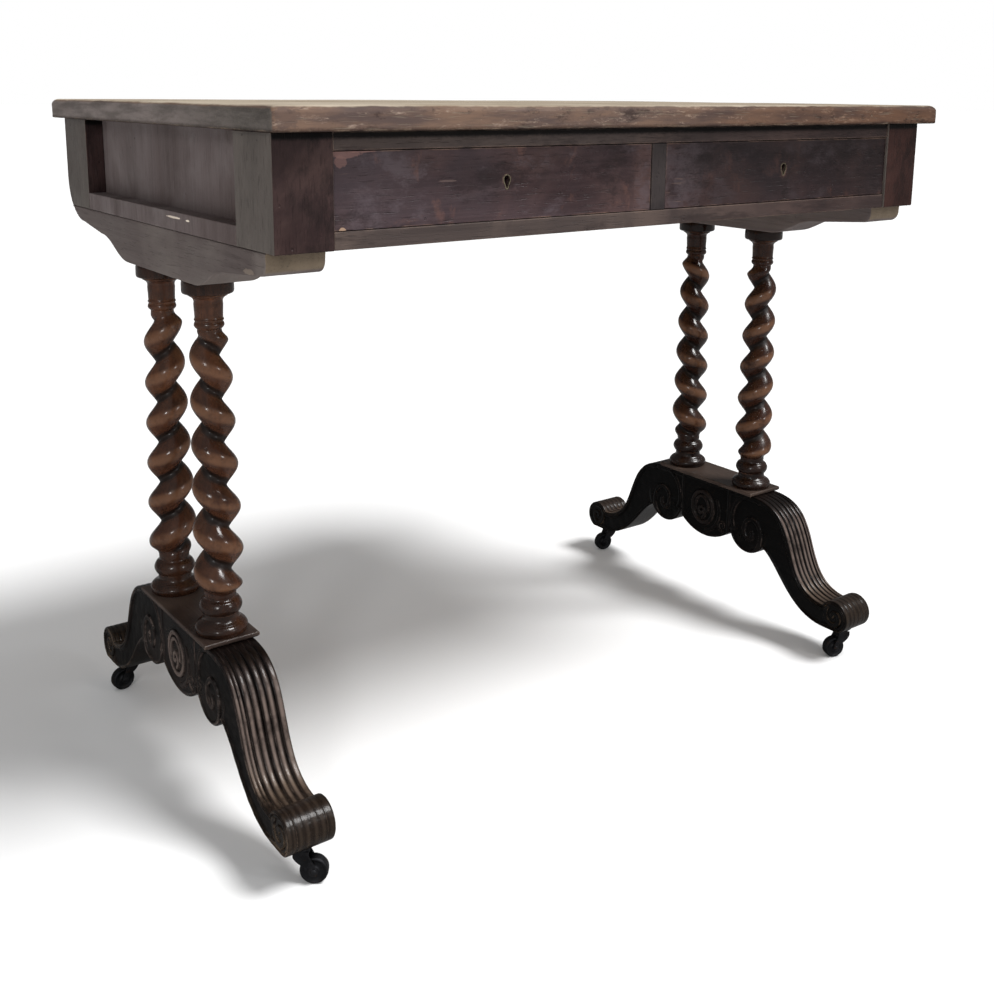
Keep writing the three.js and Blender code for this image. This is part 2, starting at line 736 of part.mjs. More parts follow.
function between(start, end, shares) {
  return shares.map(([outShare, heightShare]) => new THREE.Vector2(
    start.x + (end.x - start.x) * outShare, start.y + (end.y - start.y) * heightShare));
}

function onCircle(x, y, radius, angle) {
  return new THREE.Vector2(x + radius * Math.cos(angle * degree), y + radius * Math.sin(angle * degree));
}

const shoulderPoint = new THREE.Vector2(legShoulder, blockTop);
const creasePoint = onCircle(rollOut, rollHeight, rollRadius, rollCreaseAngle);
const seatFrontAngle = -Math.asin(rollLift / rollRadius) / degree;
const seatPoint = new THREE.Vector2(rollOut - seatBack, castorHeight);
const notchPoint = onCircle(kneeOut, kneeHeight, kneeRadius, kneeNotchAngle);
const legTopCurve = new THREE.CubicBezierCurve(shoulderPoint,
  ...between(shoulderPoint, creasePoint, legTopCurveShares), creasePoint);

function arcPoints(x, y, radius, startAngle, endAngle, steps) {
  return Array.from({ length: steps + 1 }, (_, i) =>
    onCircle(x, y, radius, THREE.MathUtils.lerp(startAngle, endAngle, i / steps)));
}

const legTopPoints = legTopCurve.getPoints(legCurveSteps);
const rollPoints = arcPoints(rollOut, rollHeight, rollRadius, rollCreaseAngle, seatFrontAngle,
  rollCurveSteps);

function legOutline() {
  const [underA, underB] = between(seatPoint, notchPoint, legUnderCurveShares);
  const under = new THREE.CubicBezierCurve(seatPoint, underA, underB, notchPoint).getPoints(legCurveSteps);
  const knee = arcPoints(kneeOut, kneeHeight, kneeRadius, kneeNotchAngle, kneeInnerAngle, kneeCurveSteps);
  const inner = centreHalfLength + jointGap;
  return new THREE.Shape([new THREE.Vector2(inner, blockTop), ...legTopPoints, ...rollPoints.slice(1),
    ...under, ...knee.slice(1), new THREE.Vector2(inner, knee[kneeCurveSteps].y)]);
}

// Each groove between two reeds is a V down the leg's top curve, shallower towards the roll.
function reedGrooves() {
  const reedWidth = (legWidth - 2 * reedRim) / reedCount;
  const overHalf = reedGrooveHalf * (1 + reedGrooveOver / reedGrooveDepth);
  return Array.from({ length: reedCount + 1 }, (_, i) => {
    const x = -legWidth / 2 + reedRim + reedWidth * i;
    return loft(legTopPoints.map((point, step) => {
      const tangent = legTopCurve.getTangent(step / legCurveSteps);
      const depth = THREE.MathUtils.lerp(reedGrooveDepth, reedCreaseDepth, step / legCurveSteps);
      const section = [[-overHalf, reedGrooveOver], [0, -depth], [overHalf, reedGrooveOver]];
      return section.map(([across, out]) => new THREE.Vector3(x + across,
        point.x - tangent.y * out, point.y + tangent.x * out));
    }));
  });
}

// A leg is drawn towards +Y on the middle of the base, then mirrored to its place.
function leg(side, front) {
  const body = alongX(legOutline(), legWidth, 1);
  const peg = cylinder(castorPegRadius + jointGap, castorHeight - cutOverrun,
    castorHeight + castorPegLength + jointGap, 0, castorOut);
  const geometry = shaped([body, sideBoss(kneeBossRadius, kneeOut, kneeHeight)], [...reedGrooves(), peg]);
  const placed = mirrored(geometry, 1, front).translate(side * columnX, 0, 0);
  return shaped([placed], [columnSocket(side, front, baseHeight)]);
}

// Angle of the ridge at the middle of the shaft, and which way it climbs, for each column
const columnTwists = [
  { name: 'left_front', side: -1, front: -1, handed: -1, ridgeAngle: -26 },
  { name: 'left_rear', side: -1, front: 1, handed: 1, ridgeAngle: 42 },
  { name: 'right_front', side: 1, front: -1, handed: 1, ridgeAngle: -183 },
  { name: 'right_rear', side: 1, front: 1, handed: -1, ridgeAngle: 97 },
];

function buildSupports() {
  for (const [word, side] of [['left', -1], ['right', 1]]) {
    add(`${word}_base_slab`, slab(side), baseWood);
    add(`${word}_base_centre`, centreBlock(side), baseWood);
    add(`${word}_front_leg`, leg(side, -1), baseWood);
    add(`${word}_rear_leg`, leg(side, 1), baseWood);
  }
  for (const { name, side, front, handed, ridgeAngle } of columnTwists) {
    const mesh = add(`${name}_column`, column(handed, ridgeAngle), columnWood);
    mesh.position.set(side * columnX, front * columnY, baseHeight + jointGap);
  }
}

// Castor pieces stand on the floor about the upright pin, with the wheel trailing towards +X.
function castorPlate() {
  const top = castorHeight - jointGap;
  const bottom = top - castorPlateThickness;
  const pinEnd = castorHeight - castorPinReach;
  return shaped([cylinder(castorPlateRadius, bottom, top, 0, 0),
    cylinder(castorPegRadius, bottom, castorHeight + castorPegLength, 0, 0),
    cylinder(castorPinRadius, pinEnd - castorPinHeadHeight, top, 0, 0),
    cylinder(castorPinHeadRadius, pinEnd - castorPinHeadHeight, pinEnd, 0, 0)]);
}

// A round bar across the fork on the wheel's axis
function acrossFork(radius, halfWidth) {
  return new THREE.CylinderGeometry(radius, radius, 2 * halfWidth, smallSides)
    .translate(forkTrail, 0, wheelRadius);
}

function castorFork() {
  const crownTop = castorHeight - jointGap - castorPlateThickness - crownDrop;
  const crownBottom = crownTop - crownHeight;
  const cheekInner = wheelWidth / 2 + forkGap;
  const cheekOuter = cheekInner + forkCheek;
  const outline = new THREE.Shape();
  outline.moveTo(-crownRadius, crownTop);
  outline.lineTo(-crownRadius, crownBottom);
  outline.lineTo(forkTrail - axleEyeRadius, wheelRadius);
  outline.absarc(forkTrail, wheelRadius, axleEyeRadius, Math.PI, 2 * Math.PI, false);
  outline.lineTo(crownRadius, crownTop);
  const cheeks = alongY(outline, -cheekOuter, cheekOuter, smallCurveSteps);
  const slot = block(range(-2 * crownRadius, 2 * (forkTrail + wheelRadius), -cheekInner, cheekInner,
    0, crownBottom));
  const yoke = shaped([cheeks, cylinder(crownRadius, crownBottom, crownTop, 0, 0)],
    [slot, cylinder(castorPinRadius + runningGap, crownBottom - cutOverrun, crownTop + cutOverrun, 0, 0)]);
  const heads = [-1, 1].map((hand) => acrossFork(axleHeadRadius, axleHeadHeight / 2)
    .translate(0, hand * (cheekOuter + axleHeadHeight / 2 - jointGap), 0));
  return shaped([yoke, acrossFork(axleRadius, cheekOuter), ...heads]);
}

function castorWheel() {
  const bore = axleRadius + runningGap;
  const half = wheelWidth / 2;
  const dishMiddle = (wheelHubRadius + wheelRadius) / 2;
  const points = [[bore, -half], [wheelHubRadius, -half], [dishMiddle, -half + wheelDish],
    [wheelRadius - wheelEdgeRadius, -half], [wheelRadius, -half + wheelEdgeRadius],
    [wheelRadius, half - wheelEdgeRadius], [wheelRadius - wheelEdgeRadius, half],
    [dishMiddle, half - wheelDish], [wheelHubRadius, half], [bore, half], [bore, -half]];
  const geometry = new THREE.LatheGeometry(points.map(([r, y]) => new THREE.Vector2(r, y)), wheelSides);
  return shaped([geometry]).translate(forkTrail, 0, wheelRadius);
}

// The angle in plan that each castor's wheel trails towards
const castorTurns = [
  { name: 'left_front', side: -1, front: -1, trailAngle: -36 },
  { name: 'right_front', side: 1, front: -1, trailAngle: 160 },
  { name: 'left_rear', side: -1, front: 1, trailAngle: 188 },
  { name: 'right_rear', side: 1, front: 1, trailAngle: 170 },
];

function buildCastors() {
  for (const { name, side, front, trailAngle } of castorTurns) {
    const castor = new THREE.Group();
    castor.position.set(side * columnX, front * castorOut, 0);
    castor.rotation.z = trailAngle * degree;
    table.add(castor);
    add(`${name}_castor_plate`, castorPlate(), iron, castor);
    add(`${name}_castor_fork`, castorFork(), iron, castor);
    add(`${name}_castor_wheel`, castorWheel(), iron, castor);
  }
}

buildCarcase();
buildDrawer('left', -1);
buildDrawer('right', 1);
buildSupports();
buildCastors();

export default table;
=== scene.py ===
import math

import bmesh
import bpy
import numpy as np
from mathutils import Matrix, Vector


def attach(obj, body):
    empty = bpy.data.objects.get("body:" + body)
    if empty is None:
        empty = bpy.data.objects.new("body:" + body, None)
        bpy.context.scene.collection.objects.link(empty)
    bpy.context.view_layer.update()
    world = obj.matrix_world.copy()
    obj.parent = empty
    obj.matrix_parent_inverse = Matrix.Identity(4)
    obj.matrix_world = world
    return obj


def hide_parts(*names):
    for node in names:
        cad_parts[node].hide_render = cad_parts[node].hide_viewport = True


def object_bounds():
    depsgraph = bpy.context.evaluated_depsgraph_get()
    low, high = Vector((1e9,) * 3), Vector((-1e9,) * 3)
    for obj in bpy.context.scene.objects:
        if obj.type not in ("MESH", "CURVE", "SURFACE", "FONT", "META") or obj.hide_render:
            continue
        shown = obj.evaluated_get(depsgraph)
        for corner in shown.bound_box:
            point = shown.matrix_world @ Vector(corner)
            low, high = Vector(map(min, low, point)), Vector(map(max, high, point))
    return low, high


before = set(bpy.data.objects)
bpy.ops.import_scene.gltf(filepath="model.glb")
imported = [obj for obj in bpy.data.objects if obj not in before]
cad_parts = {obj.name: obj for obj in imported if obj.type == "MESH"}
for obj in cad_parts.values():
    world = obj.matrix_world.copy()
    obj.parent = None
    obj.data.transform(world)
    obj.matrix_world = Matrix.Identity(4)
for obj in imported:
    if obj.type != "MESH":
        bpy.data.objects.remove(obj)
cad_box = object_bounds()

# Lengths are millimetres in shapes, and metres in finishes, lamps and the camera. The origin is
# on the floor under the middle of the top, X runs along the table, and the drawers open towards -Y.
MM = 0.001
X, Y, Z = range(3)

TOP_LENGTH, TOP_DEPTH, TOP_HEIGHT = (round((high - low) / MM, 1) for low, high in zip(*cad_box))
TOP_THICKNESS = 22
TOP_UNDER = TOP_HEIGHT - TOP_THICKNESS
TOP_ROUND = 7
TOP_CORNER = 4
END_OUTER = 437
END_THICKNESS = 57
DRAWER_FACE = -273.3
FRIEZE_BOTTOM = 616.5
APRON_BOTTOM = 568.5
APRON_REACH = 259
APRON_TIP = 12
APRON_ARRIS = 1.4
# Gap between pieces at a seam that nobody sees
SEAM = 0.3
COLUMN_X = 408.5
COLUMN_Y = 64
BASE_TOP = 194.7
BLOCK_TOP = 188.4
BLOCK_HALF = 47.5
LOBE_CENTRE = 175
LOBE_RADIUS = 72
LEG_WIDTH = 50
BASE_ARRIS = 1.6
KNEE = (83, 137)
KNEE_RADIUS = 34
ROLL = (241, 62)
ROLL_RADIUS = 22
CASTOR_HEIGHT = 42
CASTOR_OUT = 238
# How far a castor's axle lies behind its pin
TRAIL = 12
WHEEL_RADIUS = 14
CORNERS = (("left_front", -1, -1), ("left_rear", -1, 1), ("right_front", 1, -1), ("right_rear", 1, 1))


# Shapes from numpy grids

# How close in metres two places are when they count as one
PIECE_WELD, BOARD_WELD = 2e-6, 1e-6


def grid_faces(rows, columns, first):
    """Quads that join each place of a grid to the next one in its row and in the next row."""
    r, c = np.meshgrid(np.arange(rows - 1), np.arange(columns - 1), indexing="ij")
    at = first + r * columns + c
    return np.stack([at, at + 1, at + columns + 1, at + columns], -1).reshape(-1, 4)


def piece(name, grids, material, body, nodes, marks=None, crease=40):
    """One closed skin from grids of places (rows, columns, 3). Grids that share an edge are
    welded there, and rows that shrink to a point or a line close up. marks gives each grid's
    values between 0 and 1 for the mesh attributes hollow and rubbed."""
    places = np.concatenate([g.reshape(-1, 3) for g in grids]) * MM
    firsts = np.cumsum([0] + [g.shape[0] * g.shape[1] for g in grids[:-1]])
    faces = np.concatenate([grid_faces(*g.shape[:2], first) for g, first in zip(grids, firsts)])
    mesh = bpy.data.meshes.new(name)
    mesh.vertices.add(len(places))
    mesh.vertices.foreach_set("co", places.ravel())
    mesh.loops.add(faces.size)
    mesh.loops.foreach_set("vertex_index", faces.ravel().astype(np.int32))
    mesh.polygons.add(len(faces))
    mesh.polygons.foreach_set("loop_start", np.arange(0, faces.size, 4, dtype=np.int32))
    mesh.update(calc_edges=True)
    for word, values in (marks or {}).items():
        layer = mesh.attributes.new(word, "FLOAT", "POINT")
        layer.data.foreach_set("value", np.concatenate([v.ravel() for v in values]).astype(np.float32))
    work = bmesh.new()
    work.from_mesh(mesh)
    bmesh.ops.remove_doubles(work, verts=work.verts, dist=PIECE_WELD)
    bmesh.ops.recalc_face_normals(work, faces=work.faces)
    work.to_mesh(mesh)
    work.free()
    seat(name, mesh, material, body, nodes, crease)


def softened(node, material, body, arris, crease=28):
    """A welded copy of a plain board, with the rounded arrises of hand planed wood."""
    mesh = bpy.data.meshes.new(node + "_board")
    work = bmesh.new()
    work.from_mesh(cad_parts[node].data)
    bmesh.ops.remove_doubles(work, verts=work.verts, dist=BOARD_WELD)
    bmesh.ops.dissolve_limit(work, angle_limit=math.radians(1), verts=work.verts, edges=work.edges)
    work.to_mesh(mesh)
    work.free()
    made = seat(node + "_board", mesh, material, body, [node], crease)
    rounding = made.modifiers.new("arris", "BEVEL")
    rounding.width = arris * MM
    rounding.segments = 3
    rounding.limit_method = "ANGLE"
    rounding.angle_limit = math.radians(crease)
    rounding.harden_normals = True


def seat(name, mesh, material, body, nodes, crease):
    """Smooths a mesh up to the crease angle, gives it its finish and seats it on its body."""
    mesh.polygons.foreach_set("use_smooth", np.ones(len(mesh.polygons), bool))
    mesh.set_sharp_from_angle(angle=math.radians(crease))
    mesh.materials.append(material)
    made = bpy.data.objects.new(name, mesh)
    bpy.context.scene.collection.objects.link(made)
    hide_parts(*nodes)
    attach(made, body)
    return made


def way_along(points):
    """The length of a path up to each of its points."""
    return np.concatenate([[0], np.cumsum(np.hypot(*np.diff(points, axis=0).T))])


def along(points, count):
    """Places at equal steps along a path of straight pieces."""
    way = way_along(points)
    at = np.linspace(0, way[-1], count)
    return np.stack([np.interp(at, way, points[:, 0]), np.interp(at, way, points[:, 1])], -1)


def bend(start, first, second, end, count=60):
    """A cubic curve: each place is the weighted mean of the two ends and the two handles."""
    t = np.linspace(0, 1, count)[:, None]
    a, b, c, d = (np.array(p, float) for p in (start, first, second, end))
    return (1 - t) ** 3 * a + 3 * (1 - t) ** 2 * t * b + 3 * (1 - t) * t ** 2 * c + t ** 3 * d


def bend_between(start, end, *shares):
    """A cubic curve whose handles lie at shares of the way from its start to its end."""
    handles = [(start[0] + (end[0] - start[0]) * a, start[1] + (end[1] - start[1]) * b) for a, b in shares]
    return bend(start, *handles, end)


def arc(centre, radius, start, end, count=60):
    """Places on a circle from one angle to another, in degrees."""
    return curl(centre, (radius, radius), (start, end), 1.0, count)


def curl(centre, reach, turn, stretch=1.0, count=110):
    """A spiral whose radius and angle both change evenly. stretch makes it taller than wide."""
    a, r = np.radians(np.linspace(*turn, count)), np.linspace(*reach, count)
    return np.stack([centre[0] + r * np.cos(a), centre[1] + stretch * r * np.sin(a)], -1)


def inward(path, towards):
    """Unit normals of a path, on the side given by the sign of towards."""
    way = np.gradient(path, axis=0)
    way /= np.maximum(np.hypot(way[:, 0], way[:, 1]), 1e-9)[:, None]
    return towards * np.stack([way[:, 1], -way[:, 0]], -1)


def gap_to(path, y, z):
    """Distance from each place to the nearest of a path's close points."""
    return np.sqrt(((y[..., None] - path[:, 0]) ** 2 + (z[..., None] - path[:, 1]) ** 2).min(-1))


def between(ends, share):
    """A value that goes evenly from the first of two ends to the second."""
    return ends[0] + (ends[1] - ends[0]) * share


def smooth_step(value, low, high):
    """0 below low, 1 above high, with an S between them."""
    t = np.clip((value - low) / (high - low), 0, 1)
    return t * t * (3 - 2 * t)


def waves(place, seed, size, count=5):
    """A smooth random swell between about -1 and 1: the mean of some sine waves near that length."""
    rng = np.random.default_rng(seed)
    total = np.zeros(np.broadcast(*place).shape)
    for _ in range(count):
        turn = rng.normal(size=len(place))
        turn *= 2 * math.pi / (size * rng.uniform(0.7, 1.6) * np.linalg.norm(turn))
        total = total + np.sin(sum(t * p for t, p in zip(turn, place)) + rng.uniform(0, 2 * math.pi))
    return total / count * 1.6


# Steps that materials are built from

def paint(red, green, blue):
    """A colour given from 0 to 255 as the eye sees it, as the linear values that a shader takes."""
    return tuple(c / 255 / 12.92 if c <= 10 else ((c / 255 + 0.055) / 1.055) ** 2.4
                 for c in (red, green, blue)) + (1,)


def scaled(colour, factor):
    """A colour made darker or brighter by a factor."""
    return tuple(min(1, c * factor) for c in colour[:3]) + (1,)


def put(tree, kind, values=None, **settings):
    """Adds a node. In values, a socket is linked to the named or numbered input and anything
    else is set on it."""
    node = tree.nodes.new(kind)
    for word, value in settings.items():
        setattr(node, word, value)
    for key, value in (values or {}).items():
        if isinstance(value, bpy.types.NodeSocket):
            tree.links.new(value, node.inputs[key])
        else:
            node.inputs[key].default_value = value
    return node


def result(tree, operation, *values):
    """One step of arithmetic."""
    return put(tree, "ShaderNodeMath", dict(enumerate(values)), operation=operation).outputs[0]


def vector_result(tree, operation, *values):
    """One step of arithmetic on places. A length or a product comes out of the second output."""
    node = put(tree, "ShaderNodeVectorMath", dict(enumerate(values)), operation=operation)
    return node.outputs["Value" if operation in ("LENGTH", "DOT_PRODUCT") else "Vector"]


def times(tree, first, second):
    """The product of two values."""
    return result(tree, "MULTIPLY", first, second)


def plus(tree, first, second):
    """The sum of two values."""
    return result(tree, "ADD", first, second)


def minus(tree, first, second):
    """The difference of two values."""
    return result(tree, "SUBTRACT", first, second)


def weighted(tree, *terms):
    """The sum of some values, each times its weight."""
    total, *others = [times(tree, *term) for term in terms]
    for other in others:
        total = plus(tree, total, other)
    return total


def ramp(tree, value, low, high, out_low=0.0, out_high=1.0):
    """A value spread smoothly from one range to another."""
    values = {"Value": value, "From Min": low, "From Max": high, "To Min": out_low, "To Max": out_high}
    return put(tree, "ShaderNodeMapRange", values, interpolation_type="SMOOTHSTEP").outputs["Result"]


# Where the mix node keeps its colours among its inputs and outputs
FIRST_COLOUR, SECOND_COLOUR, MIXED_COLOUR = 6, 7, 2


def mix(tree, amount, first, second, how="MIX"):
    """Two colours mixed by an amount."""
    values = {0: amount, FIRST_COLOUR: first, SECOND_COLOUR: second}
    return put(tree, "ShaderNodeMix", values, data_type="RGBA", blend_type=how).outputs[MIXED_COLOUR]


def tinted(tree, colour, tint, mask, amount):
    """The colour with a tint over it where the mask is high, at most by an amount."""
    return mix(tree, times(tree, mask, amount), colour, tint)


def noise(tree, place, scale, detail=4.0, rough=0.55, bent=0.0):
    """Cloudy noise between 0 and 1."""
    return put(tree, "ShaderNodeTexNoise", {"Vector": place, "Scale": scale, "Detail": detail,
                                            "Roughness": rough, "Distortion": bent}).outputs["Fac"]


def clouds(tree, place, scale, detail, rough, low, high, stretch=None, bent=0.0):
    """A mask of clouds: noise, spread from a low value to a high one. stretch scales the places
    first, so that a larger number makes the clouds narrower along that axis."""
    if stretch:
        place = vector_result(tree, "MULTIPLY", place, stretch)
    return ramp(tree, noise(tree, place, scale, detail, rough, bent), low, high)


def part(tree, vector, axis):
    """One coordinate of a place or a direction."""
    return put(tree, "ShaderNodeSeparateXYZ", {0: vector}).outputs[axis]


def slope(tree, axis):
    """How far a face looks along an axis, from -1 to 1."""
    return part(tree, put(tree, "ShaderNodeNewGeometry").outputs["Normal"], axis)


def facing(tree, axis):
    """1 on the faces that look along an axis either way, and 0 on the others."""
    return ramp(tree, result(tree, "ABSOLUTE", slope(tree, axis)), 0.6, 0.85)


def group(name, inputs, build):
    """A node group. An input with the default None is a place, any other a number. build takes
    the tree and the inputs, and gives the named outputs, which are all numbers."""
    tree = bpy.data.node_groups.new(name, "ShaderNodeTree")
    for word, value in inputs.items():
        kind = "NodeSocketVector" if value is None else "NodeSocketFloat"
        socket = tree.interface.new_socket(name=word, in_out="INPUT", socket_type=kind)
        if value is not None:
            socket.default_value = value
    outputs = build(tree, tree.nodes.new("NodeGroupInput").outputs)
    for word in outputs:
        tree.interface.new_socket(name=word, in_out="OUTPUT", socket_type="NodeSocketFloat")
    end = tree.nodes.new("NodeGroupOutput")
    for word, value in outputs.items():
        tree.links.new(value, end.inputs[word])
    return tree


def use(tree, made, values):
    """The outputs of a node group, placed in a tree with its own values."""
    return put(tree, "ShaderNodeGroup", values, node_tree=made).outputs


# Effects that several finishes share

def grain_lines(tree, given):
    """Wood grain with its fibres along the first coordinate: broad bands, fine streaks, and short
    dark pores."""
    place = put(tree, "ShaderNodeVectorMath", {0: given["Place"], "Scale": given["Coarseness"]},
                operation="SCALE").outputs[0]
    return {"Bands": clouds(tree, place, 1.0, 5.0, 0.6, 0.3, 0.7, (1.6, 22, 22), 0.6),
            "Streaks": clouds(tree, place, 1.0, 3.0, 0.6, 0.3, 0.7, (7, 260, 260), 0.2),
            "Pores": clouds(tree, place, 1.0, 1.0, 0.4, 0.62, 0.74, (60, 900, 900))}


def blotches(tree, given):
    """Cloudy patches of one size. A larger cover gives more of them."""
    cloud = noise(tree, given["Place"], given["Patches per metre"], 6.0, 0.62, 0.4)
    middle = minus(tree, 0.72, times(tree, given["Cover"], 0.44))
    return {"Mask": ramp(tree, cloud, minus(tree, middle, given["Edge"]), plus(tree, middle, given["Edge"]))}


def arris_wear(tree, given):
    """Where an arris is rubbed: the rounded normal departs from the face's own, broken up by a
    cloud so that some lengths stay dark."""
    rounded = put(tree, "ShaderNodeBevel", {"Radius": given["Reach"]}, samples=6).outputs[0]
    own = put(tree, "ShaderNodeNewGeometry").outputs["True Normal"]
    edge = ramp(tree, vector_result(tree, "DOT_PRODUCT", rounded, own), 0.995, 0.86)
    cut = minus(tree, 0.78, times(tree, given["Cover"], 0.5))
    broken = clouds(tree, given["Place"], 38.0, 6.0, 0.7, minus(tree, cut, 0.1), plus(tree, cut, 0.1))
    return {"Mask": times(tree, edge, broken)}


def scuffs(tree, given):
    """Fine scratches along the first coordinate, and small knocks."""
    place = given["Place"]
    line = clouds(tree, place, 1.0, 2.0, 0.5, 0.63, 0.7, (16, 420, 330), 0.9)
    cut = minus(tree, 0.75, times(tree, given["Cover"], 0.3))
    rare = clouds(tree, place, 17.0, 3.0, 0.6, cut, 0.8)
    cells = put(tree, "ShaderNodeTexVoronoi", {"Vector": place, "Scale": 75.0}).outputs["Distance"]
    ragged = times(tree, noise(tree, place, 260.0, 3.0, 0.5), 0.12)
    spot = ramp(tree, plus(tree, cells, ragged), 0.2, 0.12)
    few = clouds(tree, place, 31.0, 2.0, 0.55, 0.56, 0.66)
    return {"Scratches": times(tree, line, rare), "Knocks": times(tree, spot, few)}


def lone_mark(tree, given):
    """One mark at a place: 1 inside an ellipsoid with a ragged rim, 0 outside."""
    away = vector_result(tree, "SUBTRACT", given["Place"], given["Centre"])
    reach = vector_result(tree, "LENGTH", vector_result(tree, "DIVIDE", away, given["Size"]))
    rim = minus(tree, noise(tree, given["Place"], 190.0, 4.0, 0.7), 0.5)
    shifted = plus(tree, reach, times(tree, rim, times(tree, given["Ragged"], 3.0)))
    return {"Mask": ramp(tree, shifted, 1.08, 0.9)}


GRAIN = group("Wood grain", {"Place": None, "Coarseness": 1.0}, grain_lines)
BLOTCHES = group("Blotches", {"Place": None, "Patches per metre": 8.0, "Cover": 0.5, "Edge": 0.12}, blotches)
ARRIS_WEAR = group("Arris wear", {"Place": None, "Reach": 0.002, "Cover": 0.5}, arris_wear)
SCUFFS = group("Scuffs", {"Place": None, "Cover": 0.3}, scuffs)
MARK = group("Mark", {"Place": None, "Centre": None, "Size": None, "Ragged": 0.3}, lone_mark)
WOOD_ARRIS = 0.0022
METAL_ARRIS = 0.0012


def new_material(name, **settings):
    """A material with its shader, some of whose sockets are set, and with its output."""
    made = bpy.data.materials.new(name)
    made.use_nodes = True
    tree = made.node_tree
    tree.nodes.clear()
    shader = put(tree, "ShaderNodeBsdfPrincipled",
                 {word.replace("_", " "): value for word, value in settings.items()})
    put(tree, "ShaderNodeOutputMaterial", {"Surface": shader.outputs[0]})
    return made, tree, shader.inputs


def wood(name, grain, dark, light, worn, worn_cover, edge, edge_cover, roughness, *, coarseness=1.0,
         streak=0.35, pore=0.4, grain_height=0.0003, coat=0.0, carved=False, marks=(), patch_scale=7.0,
         worn_strength=0.6, haze=None, scuff=0.3, extra=None, edge_too=False, rough_spread=0.12,
         mirror=0.2, hollow_dark=0.3):
    """Old polished wood. Bands of grain run from dark to light, worn patches, rubbed arrises and
    scratches show paler wood, and pores and knocks hold dark wax and dust. Carved hollows are
    darkened as painted shade and dark wax."""
    made, tree, sockets = new_material(name, Coat_Weight=coat, Coat_Roughness=0.1, Specular_IOR_Level=mirror)
    place = put(tree, "ShaderNodeTexCoord").outputs["Object"]
    parts = put(tree, "ShaderNodeSeparateXYZ", {0: place}).outputs
    order = {"x": (X, Y, Z), "y": (Y, X, Z), "z": (Z, X, Y)}[grain]
    ordered = put(tree, "ShaderNodeCombineXYZ", {i: parts[axis] for i, axis in enumerate(order)}).outputs[0]
    lines = use(tree, GRAIN, {"Place": ordered, "Coarseness": coarseness})
    deep = scaled(dark, 0.55)
    colour = mix(tree, lines["Bands"], dark, light)
    colour = tinted(tree, colour, deep, lines["Streaks"], streak)
    patches = use(tree, BLOTCHES, {"Place": ordered, "Patches per metre": patch_scale,
                                   "Cover": worn_cover})["Mask"]
    colour = tinted(tree, colour, worn, patches, worn_strength)
    if haze:
        tone, per_metre, cover, amount = haze
        cloud = use(tree, BLOTCHES, {"Place": place, "Patches per metre": per_metre, "Cover": cover,
                                     "Edge": 0.2})["Mask"]
        colour = tinted(tree, colour, tone, cloud, amount)
    if extra:
        colour = extra(tree, place, colour)
    colour = tinted(tree, colour, deep, lines["Pores"], pore)
    worn_lines = use(tree, SCUFFS, {"Place": ordered, "Cover": scuff})
    colour = tinted(tree, colour, edge, worn_lines["Scratches"], 0.5)
    colour = tinted(tree, colour, deep, worn_lines["Knocks"], 0.45)
    rubbed = use(tree, ARRIS_WEAR, {"Place": place, "Reach": WOOD_ARRIS, "Cover": edge_cover})["Mask"]
    if carved:
        high = put(tree, "ShaderNodeAttribute", attribute_name="rubbed").outputs["Fac"]
        cloud = clouds(tree, place, 26.0, 5.0, 0.65, 0.3, 0.56)
        rubbed = result(tree, "MAXIMUM", rubbed, times(tree, high, cloud))
    colour = tinted(tree, colour, extra(tree, place, edge) if edge_too else edge, rubbed, 0.75)
    for centre, size, tint, ragged, amount in marks:
        spot = use(tree, MARK, {"Place": place, "Centre": tuple(c * MM for c in centre),
                                "Size": tuple(c * MM for c in size), "Ragged": ragged})["Mask"]
        colour = tinted(tree, colour, tint, spot, amount)
    shine = ramp(tree, noise(tree, ordered, 9.0, 5.0, 0.6), 0.3, 0.7,
                 roughness - rough_spread, roughness + rough_spread)
    shine = weighted(tree, (shine, 1), (patches, 0.1), (worn_lines["Scratches"], 0.2))
    if carved:
        # Carved hollows: painted shade with dark wax in them, and a duller shine there.
        low = put(tree, "ShaderNodeAttribute", attribute_name="hollow").outputs["Fac"]
        wax_and_shade = ramp(tree, plus(tree, low, times(tree, noise(tree, place, 60.0, 4.0), 0.3)), 0.45, 1.0)
        colour = tinted(tree, colour, scaled(dark, hollow_dark), wax_and_shade, 0.85)
        shine = plus(tree, shine, times(tree, wax_and_shade, 0.25))
    height = weighted(tree, (lines["Streaks"], -0.35), (lines["Pores"], -0.8),
                      (worn_lines["Scratches"], -1.2), (worn_lines["Knocks"], -2.2),
                      (noise(tree, ordered, 14.0, 3.0, 0.5), 1.6))
    bump = put(tree, "ShaderNodeBump", {"Height": height, "Distance": grain_height, "Strength": 1.0})
    tree.links.new(colour, sockets["Base Color"])
    tree.links.new(result(tree, "MINIMUM", shine, 0.95), sockets["Roughness"])
    tree.links.new(bump.outputs[0], sockets["Normal"])
    return made


